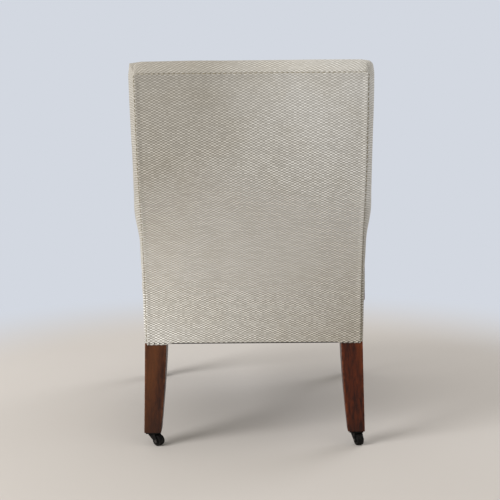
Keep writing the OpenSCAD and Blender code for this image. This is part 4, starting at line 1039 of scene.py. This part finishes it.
# Back webbing and hessian: four straps up and five across, strained over the front of the back frame,
# and canvas tacked over them to carry the stuffing.
LOWER_RAIL_GAP, LOWER_RAIL_H, WEB_NEAR, STRAP_LAP, HESSIAN_LAP = 70, 36, SOFT_GAP / 2, 22, 4
back_frame = span(RAIL_TOP + LOWER_RAIL_GAP + LOWER_RAIL_H / 2, UPRIGHT_TOP - 10, 60)
half = leg_in(WAIST_Z) + STRAP_LAP
up_pitch = 2 * leg_in(WAIST_Z) / 4.3
lines = []
z_step = (back_frame[-1] - back_frame[0] - STRAP_W) / 4
for k in range(5):
    z = back_frame[0] + STRAP_W / 2 + k * z_step
    lean = (front_y(z + 5) - front_y(z - 5)) / 10
    size = math.hypot(1, lean)
    lines.append([((x, front_y(z) - WEB_NEAR - 0.3, z), (0, lean / size, 1 / size), (0, -1, lean))
                  for x in span(-half, half, 40)])
for k in (-1.5, -0.5, 0.5, 1.5):
    x = k * up_pitch
    lines.append([((x, front_y(z) - WEB_NEAR - STRAP_T, z), (1, 0, 0), (0, -1, 0)) for z in back_frame])
points, faces, uv = straps(lines, STRAP_W, STRAP_T - 0.35)
webbing = place("back_webbing_straps", points, faces, jute, uv)
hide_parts("back_webbing")
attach(webbing, "root")

half += HESSIAN_LAP
near = np.array([[(x, front_y(z) - WEB_NEAR - 2 * STRAP_T, z) for x in span(-half, half, 30)]
                 for z in back_frame])
points, faces = between(near, near - (0, HESSIAN_T, 0))
canvas = place("back_hessian_canvas", points, faces, hessian, [(p[0], p[2]) for p in points])
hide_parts("back_hessian")
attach(canvas, "root")

# Inside back: the cloth over the stuffed back. It is pulled round both sides and over the top to the back
# of the uprights, with a pleat folded in at each top corner, and cut round the arms.
BACK_LOW_Z, BACK_ROLL_R, BACK_CROWN, BACK_CORNER = SEAT_H - 12, 32, 22, 4
TOP_ROUND_LEFT, TOP_ROUND_RIGHT = 4, 15
BORDER_LOW, BORDER_HIGH, SIDE_ROLL, TUCK, SEAM_GROOVE, OVER_LEG = 3, 5, 14, 0.05, 1.5, 1.6


def flank_half(z):
    """Half the width over the padded sides of the back at height z."""
    border = mix(BORDER_LOW, BORDER_HIGH, limit((z - RAIL_Z) / (WAIST_Z - RAIL_Z)))
    return panel_half(z) + border + SIDE_ROLL * ease((z - WAIST_Z + 15) / 100)


def stuffed_half(z):
    """The same once the sides are stuffed out, fuller above the arms than below them."""
    return flank_half(z) + mix(-1.5, 2.4, ease((z - 380) / 130))


def seam_half(z):
    """Half the distance between the side seams behind, which stand a little wider apart at the top."""
    return panel_half(z) + mix(-5.5, 3.6, ease((z - 340) / 390))


def rounded_corner(p, half, top):
    """Rounds a top corner of the back over, the one at -x more than the other."""
    r = TOP_ROUND_LEFT if p[0] > 0 else TOP_ROUND_RIGHT
    u, v = abs(p[0]) - half + r, p[2] - top + r
    if min(u, v) <= 0:
        return p
    share = max(u, v) / math.hypot(u, v)
    return [math.copysign(half - r + u * share, p[0]), p[1], top - r + v * share]


def back_front(row, col, inset):
    r = BACK_ROLL_R - inset
    cut = BACK_CORNER * col[1] * row[1]
    reach = CHAIR_H - BACK_ROLL_R - BACK_LOW_Z
    z = BACK_LOW_Z + reach * (row[0] + 1) / 2 + r * row[1] - abs(cut)
    side = stuffed_half(z) - inset
    x = (side - r) * col[0] + r * col[1] - cut
    bow = (1 - (x / side) ** 2) * (1 - (0.9 * row[0]) ** 4)
    y = front_y(z) - BACK_BASE - (r + BACK_CROWN * bow) * row[2] * col[2]
    return rounded_corner([x, y, z], side, CHAIR_H - inset)


def wrap_half(z):
    """Half the width of the cloth where it turns the rear arris of an upright."""
    return max(seam_half(z), leg_out(z) + 2.4)


def back_flank(row, col, inset, t):
    """A point of the side of the back, from 0 at the padded edge to 1 at the rear arris, and on from
    there to where its raw edge lies under the outside back."""
    past = max(0.0, t - 1) / TUCK
    t = min(t, 1.0)
    p = back_front(row, col, inset)
    z = mix(BACK_LOW_Z, SEAM_Z - inset, (p[2] - BACK_LOW_Z) / (CHAIR_H - inset - BACK_LOW_Z))
    edge = mix(wrap_half(z), seam_half(z) - 1.5, past)
    x = p[0] * (edge - inset) / (stuffed_half(p[2]) - inset)
    tuck = 1.7 * math.sqrt(past)
    turned = [mix(p[0], x, t ** mix(6, 1.7, ease((z - 500) / 120))),
              mix(p[1], rear_y(z) - SOFT_GAP / 2, t) + tuck, mix(p[2], z, t ** 1.7)]
    groove = min(SEAM_GROOVE, wrap_half(z) - leg_out(z) - OVER_LEG) if past == 0 else 0
    out = 1.3 * hump(0.86 - t, 0.07) - groove * hump(1 - t, 0.035)
    beside, above = ease((abs(x) - edge + 25) / 25), ease((z - SEAM_Z + 25) / 25)
    return [turned[0] + math.copysign(out * beside, x), turned[1] + min(0, out), turned[2] + out * above]


def corner_fold(p, t):
    """The pleat at a top corner of the back: its edge lies over the side seam, and the cloth beyond it
    drops by the thickness of the fold."""
    if p[2] < SEAM_Z - 4:
        return p
    edge = seam_half(SEAM_Z) + 1 - 2.5 * (p[2] - SEAM_Z) / (CHAIR_H - SEAM_Z)
    past = abs(p[0]) - edge
    rise = ease((p[2] - SEAM_Z + 4) / 8) * ease(t * 2.2 - 0.3)
    step = 1.5 * hump(past, 14) if past < 0 else -2.2 * hump(past, 3.5)
    return [p[0], p[1] + step * rise, p[2]]


def back_grid(n_roll, n_flat, inset):
    return np.array([[back_front(r, c, inset) for c in reversed(across(n_roll, n_flat // 2))]
                     for r in lengthways(n_roll, n_flat)])


def pull_through(edge_row):
    """Rows of points by which the cloth goes on below the front of the back: in under the stuffing, then
    down between the seat and the uprights to the rear rail."""
    narrow, plane = rail_x(JOINT_Y) / stuffed_half(BACK_LOW_Z), SEAT_BACK_Y + CLOTH_T
    made = [[(p[0] * mix(1, narrow, limit(20 * t)), mix(p[1], plane, t), BACK_LOW_Z - 0.1 - CLOTH_T * t)
             for p in edge_row] for t in (0.05, 0.35, 0.7, 1.0)]
    heights = span(BACK_LOW_Z - 12, RAIL_TOP + 12, 8)
    return made + [[(p[0] * narrow, plane, z) for p in edge_row] for z in heights]


BACK_ROLL_STEPS, BACK_FLAT_STEPS = 10, 52
FLANK_SHARES = span(0, 0.9, 13)[1:] + [0.93, 0.96, 0.98, 1.0, 1 + TUCK / 3, 1 + TUCK]
back_face = settle(back_grid(BACK_ROLL_STEPS, BACK_FLAT_STEPS, 0), pressure=4.0, cap=6)
rows = lengthways(BACK_ROLL_STEPS, BACK_FLAT_STEPS)
cols = list(reversed(across(BACK_ROLL_STEPS, BACK_FLAT_STEPS // 2)))
path = rim_path(len(rows), len(cols))
rings = [np.array([corner_fold(back_flank(rows[i], cols[j], 0, t), t) for i, j in path])
         for t in FLANK_SHARES]
points, faces = skirted(back_face, rings)
uv = cloth_uv(back_face, rings, BACK_ROLL_STEPS)
edge = [(len(rows) - 1) * len(cols) + j for j in range(len(cols))]
for row in pull_through(back_face[-1]):
    now = [len(points) + j for j in range(len(cols))]
    uv += [(uv[a][0], uv[a][1] - math.dist(points[a], p)) for a, p in zip(edge, row)]
    points += [list(p) for p in row]
    faces += [[edge[j], edge[j + 1], now[j + 1], now[j]] for j in range(len(cols) - 1)]
    edge = now
points = roughen(points, size=80, amount=1.0, seed=11)
inside_back = sheet_piece("inside_back_cloth", points, faces, uv, inside=(0, 260, 650))
cut_from(inside_back, both(arm_points(1, -1)))
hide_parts("inside_back_cover")
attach(inside_back, "root")

# Back stuffing: the same hair and fibre as in the seat, stitched to the back canvas. It is thickest in
# the middle and rolls over at its edges.
front, shrink = back_grid(6, 30, UNDER_CLOTH), 0.994
rear = np.array([[(p[0] * shrink, front_y(p[2]) - BACK_BASE + BACK_PAD_RIM, mix(BACK_LOW_Z, p[2], shrink))
                  for p in row] for row in front])
points, faces = between(front, rear)
pad = place("back_stuffing", points, faces, stuffing, sharp=180)
cut_from(pad, both(arm_points(2, -2)))
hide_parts("back_pad")
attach(pad, "root")

# Outside back: one flat piece of the cover cloth, stretched over the hollow of the frame. Its edges are
# turned in and slip stitched at the top and sides, and tacked under the rear rail at the bottom.
SADDLE_SHARE, PIN_PITCH, TURNED_T, STITCH_PULL, UNEVEN = 0.45, 13, 1.4, 0.35, 0.9
HANG_LEFT, HANG_RIGHT, SCALLOP = 4.2, 2.6, 1.1


def panel_y(x, z):
    chord = mix(rear_y(COVER_Z), rear_y(SEAM_Z), (z - COVER_Z) / (SEAM_Z - COVER_Z))
    return rear_y(z) + SADDLE_SHARE * (chord - rear_y(z)) * (1 - (x / panel_half(z)) ** 2)


def panel_point(s, t):
    """A point of the outer face, with s from -1 to 1 across and t from 0 at the top to 1 at the hem. The
    turned edges are three cloths thick and stand up, and the hem hangs in scallops from its pins."""
    z = mix(SEAM_Z, COVER_Z, t)
    x = seam_half(z) * s
    beside, below = seam_half(z) - abs(x), SEAM_Z - z
    edge = min(beside, below)
    along = z if beside < below else x
    ripple = math.sin(0.27 * along + 2 * noise.noise(Vector((x, z, 3)) / 60))
    pull = STITCH_PULL * math.exp(-edge / 7) * ripple
    lumps = UNEVEN * noise.noise(Vector((x / 95, z / 140, 8.1)))
    turned = TURNED_T * (1 - ease((edge - 4) / 8))
    over_leg = ease((abs(x) - 200) / 22) * ease((t - 0.93) / 0.07)
    hang = (HANG_LEFT if x > 0 else HANG_RIGHT) + SCALLOP * abs(math.sin(math.pi * x / PIN_PITCH))
    y = panel_y(x, z) + SOFT_GAP + CLOTH_T + turned + pull + lumps * ease(edge / 40)
    return (x, y, z - hang * over_leg)


panel_s = [math.sin(QUARTER * a) * 0.2 + a * 0.8 for a in span(-1, 1, 110)]
panel_t = [0, 0.002, 0.006] + span(0.012, 0.975, 84) + span(0.98, 1, 5)
grid = np.array([[panel_point(s, t) for s in panel_s] for t in panel_t])
heights = [mix(SEAM_Z, COVER_Z, t) for t in panel_t]
drawn_out = [mix(1.15, 0.98, ease((z - 300) / 500)) for z in heights[1:]]
steps = np.linalg.norm(np.diff(grid[:, len(panel_s) // 2], axis=0), axis=1)
run = np.concatenate([[0], np.cumsum(steps * drawn_out)])
weave_shift = 3.1
uv = [(grid[i, j, 0] + weave_shift, -run[i]) for i in range(len(panel_t)) for j in range(len(panel_s))]
points, faces = grid.reshape(-1, 3).tolist(), grid_faces(len(panel_t), len(panel_s))
panel = sheet_piece("outside_back_cloth", points, faces, uv, inside=(0, 0, 500))
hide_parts("outside_back_cover")
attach(panel, "root")

# Slip stitches: the outside back is sewn to the inside back by hand with waxed linen thread, one slanting
# stitch about every 12 mm down both sides and across the top.
thread, tree = start_finish("thread_with_painted_seam_shade", Roughness=0.6)
spot = add(tree, "ShaderNodeTexCoord", out=3)
twist = clouds(tree, spot, 1400.0, 1.0)
# Partly painted shade: the stitches are real, and their dark brown, with their size, also draws the shade
# along the seams.
colour = blend(tree, twist, "#564a34", "#85774f")
surface(tree, colour, twist, strength=0.5, deep=0.1)

stitch_sizes = {"Pitch": 12 * MM, "Thread radius": 0.75 * MM, "Stitch length": 7.5 * MM}
tree, given = new_tree("slip_stitches", stitch_sizes)
seam = add(tree, "GeometryNodeMeshToCurve", {"Mesh": given["Geometry"]})
seam = add(tree, "GeometryNodeResampleCurve", {"Curve": seam, "Length": given["Pitch"]}, mode="LENGTH")
ahead = add(tree, "GeometryNodeInputTangent")
turned = add(tree, "FunctionNodeAlignRotationToVector", {"Vector": ahead}, axis="Z")
turned = add(tree, "FunctionNodeRotateRotation", {0: turned, 1: (0.0, 0.12, 0.0)}, rotation_space="LOCAL")
stitch = add(tree, "GeometryNodeMeshCylinder", {"Vertices": 8, "Radius": given["Thread radius"],
                                                "Depth": given["Stitch length"]}, fill_type="NGON")
set_on(tree, seam, stitch, thread, Rotation=turned)

proud, top_half = 2.3, seam_half(SEAM_Z) - 2
seam_side = [(seam_half(z) + 0.5, rear_y(z) + proud, z) for z in span(COVER_Z + 6, SEAM_Z - 2, 70)]
seam_top = [(x, panel_y(x, SEAM_Z) + proud, SEAM_Z + 0.6) for x in span(top_half, -top_half, 60)]
path = seam_side + seam_top + mirrored(seam_side)[::-1]
sewn = grow("slip_stitches", tree, path, [(k, k + 1) for k in range(len(path) - 1)], stitch_sizes)
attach(sewn, "root")

# Gimp pins: small japanned pins with domed heads that hold the hem of the outside back where it passes
# over each rear leg, about 13 mm apart.
japan, tree = start_finish("japanned_pin_heads", Metallic=0.3, Roughness=0.4)
spot = add(tree, "ShaderNodeTexCoord", out=3)
chips = clouds(tree, spot, 900.0, 2.0)
chips = ranged(tree, chips, 0.6, 0.66)
colour = blend(tree, chips, "#241d17", "#6b6259")
surface(tree, colour)
pin_sizes = {"Head radius": 1.7 * MM}
tree, given = new_tree("gimp_pins", pin_sizes)
head = add(tree, "GeometryNodeMeshUVSphere", {"Segments": 12, "Rings": 8, "Radius": given["Head radius"]})
head = add(tree, "GeometryNodeTransform", {"Geometry": head, "Scale": (1, 0.6, 1)})
set_on(tree, given["Geometry"], head, japan)
spots = [(x, panel_y(x, COVER_Z) + CLOTH_T + 2, COVER_Z - 0.6) for k in range(17, 21)
         for x in (k * PIN_PITCH, -k * PIN_PITCH)]
pins = grow("gimp_pins", tree, spots, [], pin_sizes)
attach(pins, "root")

# Dark line below the hem: a thin strip of the black lining cloth, set just behind the hem of the outside
# back, shows as a thin dark line below the hem, from leg to leg.
reach = leg_in(COVER_Z) - 1
near, far = [np.array([[(x, panel_y(x, COVER_Z) + away, z) for x in span(-reach, reach, 24)]
                       for z in (COVER_Z + 6, COVER_Z - 2.2)]) for away in (0.3, 1.5)]
points, faces = between(far, near)
edge = place("dark_strip_below_hem", points, faces, lining)
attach(edge, "root")

# Side borders: strips of the cloth over thin wadding on the outer face of each rear leg, from the seat
# rail up to the inside back, turned in and stitched to the outside back.


def border_rings():
    """Cross-sections of a side border from its hem up to the inside back, each with its height."""
    made = []
    top_z, lap = BACK_LOW_Z - SOFT_GAP, REAR_HALF_W - 8
    near, near_r, wide, deep = SEAT_BACK_Y + 0.2, 0.8, 7.5, 4.2
    for z in [COVER_Z, COVER_Z + 1] + span(COVER_Z + 5, top_z - 2, 26) + [top_z]:
        closed = 1.4 if z in (COVER_Z, top_z) else 0
        out, rear, on_leg = stuffed_half(z) - 0.8 - closed, rear_y(z) + 1.2, rear_y(z) + 0.15
        puff = 0.5 * noise.noise(Vector((5, 2, z / 30)))
        ring = [(leg_out(z) + SOFT_GAP, on_leg), (lap, on_leg), (lap, rear), (out - wide, rear)]
        ring += [(out - wide + wide * math.sin(a), rear - deep + deep * math.cos(a))
                 for a in span(0.2, QUARTER, 7)]
        ring += [(out + puff * math.sin(math.pi * k / 8), mix(rear - deep, near + near_r, k / 8))
                 for k in range(1, 8)]
        ring += [(out - near_r + near_r * math.cos(a), near + near_r - near_r * math.sin(a))
                 for a in span(0, QUARTER, 4)]
        inner = max(leg_out(z), rail_x(near)) + SOFT_GAP
        ring += [(inner, near), (max(leg_out(z), rail_x(JOINT_Y)) + SOFT_GAP, JOINT_Y)]
        made.append((ring, z))
    return made


points, uv = [], []
for ring, z in border_rings():
    run = 0.0
    for k, (x, y) in enumerate(ring):
        run += math.dist(ring[k - 1], (x, y)) if k else 0
        points.append((x, y, z))
        uv.append((run, z))
faces = tube_faces(len(ring), len(points) // len(ring))
for side in ("left", "right"):
    border = place("side_border_" + side + "_cloth", sided(points, side), faces,
                   cover_cloth, uv, sharp=70)
    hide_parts("side_border_" + side)
    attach(border, "root")

# Arm pads: a little hair on top of each arm under its own piece of the cloth, drawn down and turned in
# along the edges of the arm.
ARM_PAD_Y, PAD_RIM, PAD_ROWS, PAD_COLS, ARM_CLOTH_T = ARM_FRONT_Y + 30, 4, 45, 21, 1.8


def arm_pad_point(s, t, inset):
    y = ARM_PAD_Y + ARM_PAD_L * (s + 1) / 2 - math.copysign(inset * abs(s) ** 6, s)
    w = arm_width(y) / 2 + 2
    x = arm_outer(y) - arm_width(y) / 2 + t * (w - inset) * (1 - 0.22 * abs(s) ** 10)
    bulge = (1 - abs(t) ** 3) ** (1 / 2.4) * (1 - abs(s) ** 8) ** (1 / 3)
    return (x, y, arm_top_z(y) + SOFT_GAP + PAD_RIM - inset / 2 + (ARM_PAD_H - PAD_RIM - inset / 2) * bulge)


def eased_steps(n):
    return [math.sin(QUARTER * (2 * i / n - 1)) for i in range(n + 1)]


def arm_pad_grid(n_s, n_t, inset):
    return np.array([[arm_pad_point(s, -t, inset) for t in eased_steps(n_t)] for s in eased_steps(n_s)])


pad_face = settle(arm_pad_grid(PAD_ROWS - 1, PAD_COLS - 1, 0), pressure=4.0, cap=2.0, held=1)
loop = rim_loop(PAD_ROWS, PAD_COLS)
run_u, run_v = run_along(pad_face, 1), run_along(pad_face, 0)
points = roughen(pad_face.reshape(-1, 3).tolist(), size=40, amount=0.6, seed=5)
uv = [(run_u[i, j] - run_u[i, PAD_COLS // 2], run_v[i, j] - run_v[PAD_ROWS // 2, j])
      for i in range(PAD_ROWS) for j in range(PAD_COLS)]
faces = grid_faces(PAD_ROWS, PAD_COLS)
before = [i * PAD_COLS + j for i, j in loop]
for share in (0.35, 0.75, 1.0):
    now = []
    for i, j in loop:
        p = pad_face[i, j]
        low = arm_top_z(p[1]) + SOFT_GAP
        now.append(len(points))
        points.append([p[0], p[1], mix(p[2], low, share)])
        u, v = uv[i * PAD_COLS + j]
        out_u, out_v = (j == PAD_COLS - 1) - (j == 0), (i == PAD_ROWS - 1) - (i == 0)
        uv.append((u + out_u * PAD_RIM * share, v + out_v * PAD_RIM * share))
    faces += [[before[k - 1], before[k], now[k], now[k - 1]] for k in range(len(loop))]
    before = now
pad_top = arm_pad_grid(24, 12, CLOTH_T + 0.6)
pad_low = np.array([[(p[0], p[1], arm_top_z(p[1]) + SOFT_GAP) for p in row] for row in pad_top])
stuffed, stuffed_faces = between(pad_top, pad_low)
for side in ("left", "right"):
    middle = sided([(ARM_FRONT_X - ARM_W / 2, ARM_PAD_Y + ARM_PAD_L / 2, ARM_H - 40)], side)[0]
    cover = sheet_piece("arm_cover_" + side + "_cloth", sided(points, side), faces, uv,
                        thick=ARM_CLOTH_T, inside=middle)
    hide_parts("arm_cover_" + side)
    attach(cover, "root")
    pad = place("arm_stuffing_" + side, sided(stuffed, side), stuffed_faces, stuffing, sharp=180)
    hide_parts("arm_pad_" + side)
    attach(pad, "root")

# Castors: four small cast-iron castors, blackened, each with a square plate screwed under the foot, a
# horn that swivels on a pin, and a wheel on a steel axle. The black has worn browner in patches.
iron, tree = start_finish("blackened_cast_iron", Metallic=0.3, Specular_IOR_Level=0.15)
spot = add(tree, "ShaderNodeTexCoord", out=3)
cast = clouds(tree, spot, 700.0, 4.0)
wear = clouds(tree, spot, 120.0, 3.0)
wear = ranged(tree, wear, 0.5, 0.72, soft=True)
colour = blend(tree, wear, "#100e0c", "#27221e")
dull = ranged(tree, wear, 0.0, 1.0, 0.7, 0.5)
surface(tree, colour, cast, strength=0.6, deep=0.15, rough=dull)
axle_steel = dull_steel("worn_axle_steel", "#55524f", "#2f2924", rough=0.42)
TRAIL_WAY = {"rear_left": 145, "rear_right": 110, "front_left": 90, "front_right": 90}
CASTOR_PARTS = (("plate", iron, "blackened_iron", 0.35), ("horn", iron, "blackened_iron", 0.4),
                ("wheel", iron, "blackened_iron", 0.3), ("axle", axle_steel, "steel", 0.2))
for corner in TRAIL_WAY:
    for part_name, material, slot, edge in CASTOR_PARTS:
        dress(corner + "_castor_" + part_name, material, edge)

# Castor hoods: a curved web cast between the cheeks of each horn, over the wheel, so that the horn is
# closed at the back. The section runs out from the pin along the trail, by height.
WHEEL_W, CHEEK_GAP, INTO_CHEEK = 17, 0.6, 0.3
HOOD_HALF = WHEEL_W / 2 + CHEEK_GAP + INTO_CHEEK
HOOD_SECTION = ((-8.1, 27.0), (-3.9, 23.6), (0.6, 20.0), (2.6, 17.6), (4.0, 18.6), (2.6, 21.3), (-1.9, 24.9),
                (-5.6, 27.9))
for corner, way in TRAIL_WAY.items():
    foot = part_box(corner + "_castor_plate")
    pin = [(foot[0][axis] + foot[1][axis]) / 2 / MM for axis in (0, 1)]
    cos, sin = math.cos(math.radians(way)), math.sin(math.radians(way))
    points = [(pin[0] + a * cos - b * sin, pin[1] + a * sin + b * cos, z)
              for b in (-HOOD_HALF, HOOD_HALF) for a, z in HOOD_SECTION]
    hood = place(corner + "_castor_hood", points, tube_faces(len(HOOD_SECTION), 2), iron)
    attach(hood, corner + "_horn")

# Studio: a plain pale floor that runs out into an even pale surround, one large soft lamp from the left of
# the view, and a weaker one from the right. The camera stands behind the chair, a little above it.
floor_finish, tree = start_finish("plain_pale_floor", Roughness=0.85)
spot = add(tree, "ShaderNodeTexCoord", out=3)
cloud = clouds(tree, spot, 1.2, 2.0)
colour = blend(tree, cloud, "#c3bcb4", "#cbc5be")
surface(tree, colour)
SURROUND = linear("#d3d8e1")
away = add(tree, "ShaderNodeVectorMath", {0: spot}, 1, operation="LENGTH")
away = ranged(tree, away, 0.9, 1.7, soft=True)
beyond = add(tree, "ShaderNodeEmission", {0: SURROUND, 1: 1.0})
painted_light_and_floor_fade = add(tree, "ShaderNodeMixShader", {0: away, 1: tree.nodes["Principled BSDF"].outputs[0], 2: beyond})
tree.links.new(painted_light_and_floor_fade, tree.nodes["Material Output"].inputs["Surface"])
reach = 9000
corners = [(-reach, -reach, 0), (reach, -reach, 0), (reach, reach, 0), (-reach, reach, 0)]
floor = place("studio_floor", corners, [[0, 1, 2, 3]], floor_finish)
if floor.data.polygons[0].normal.z < 0:
    floor.data.flip_normals()


def lamp(name, spot, aim, size, power, colour):
    light = bpy.data.lights.new(name, "AREA")
    light.shape, light.size, light.energy, light.color = "DISK", size, power, linear(colour)[:3]
    made = bpy.data.objects.new(name, light)
    made.location = spot
    made.rotation_euler = (Vector(aim) - Vector(spot)).to_track_quat("-Z", "Y").to_euler()
    bpy.context.scene.collection.objects.link(made)


lamp("key_lamp", (3.9, 2.3, 2.2), aim=(0, 0.2, 0.55), size=2.4, power=206, colour="#fbfcff")
lamp("fill_lamp", (-2.6, -2.4, 2.4), aim=(0, 0, 0.5), size=2.0, power=40, colour="#f6f8ff")

world = bpy.data.worlds.new("studio_surround")
bpy.context.scene.world = world
world.use_nodes = True
tree = world.node_tree
tree.nodes.clear()
path = add(tree, "ShaderNodeLightPath", out=None)
seen = calc(tree, "MAXIMUM", path.outputs["Is Camera Ray"], path.outputs["Is Glossy Ray"])
seen = calc(tree, "MAXIMUM", seen, path.outputs["Is Transmission Ray"])
lit = add(tree, "ShaderNodeBackground", {0: linear("#f6f4f0"), 1: 0.75})
shown = add(tree, "ShaderNodeBackground", {0: SURROUND, 1: 1.0})
both_ways = add(tree, "ShaderNodeMixShader", {0: seen, 1: lit, 2: shown})
add(tree, "ShaderNodeOutputWorld", {0: both_ways}, None)

lens = bpy.data.cameras.new("camera")
camera = bpy.data.objects.new("camera", lens)
bpy.context.scene.collection.objects.link(camera)
bpy.context.scene.camera = camera
lens.sensor_width, lens.lens = 36, 75.07
lens.clip_start, lens.clip_end = 0.05, 60
pitch, yaw, roll = math.radians(8.685), math.radians(0.449), math.radians(-0.56)
ahead = Vector((math.sin(yaw) * math.cos(pitch), -math.cos(yaw) * math.cos(pitch), -math.sin(pitch)))
right = ahead.cross(Vector((0, 0, 1))).normalized()
above = right.cross(ahead)
tilted_right = math.cos(roll) * right + math.sin(roll) * above
tilted_up = -math.sin(roll) * right + math.cos(roll) * above
eye = (-0.01274, 2.81461, 0.87232)
turned = Matrix((tilted_right, tilted_up, -ahead)).transposed().to_4x4()
camera.matrix_world = Matrix.Translation(eye) @ turned
bpy.context.scene.view_settings.view_transform = "Standard"
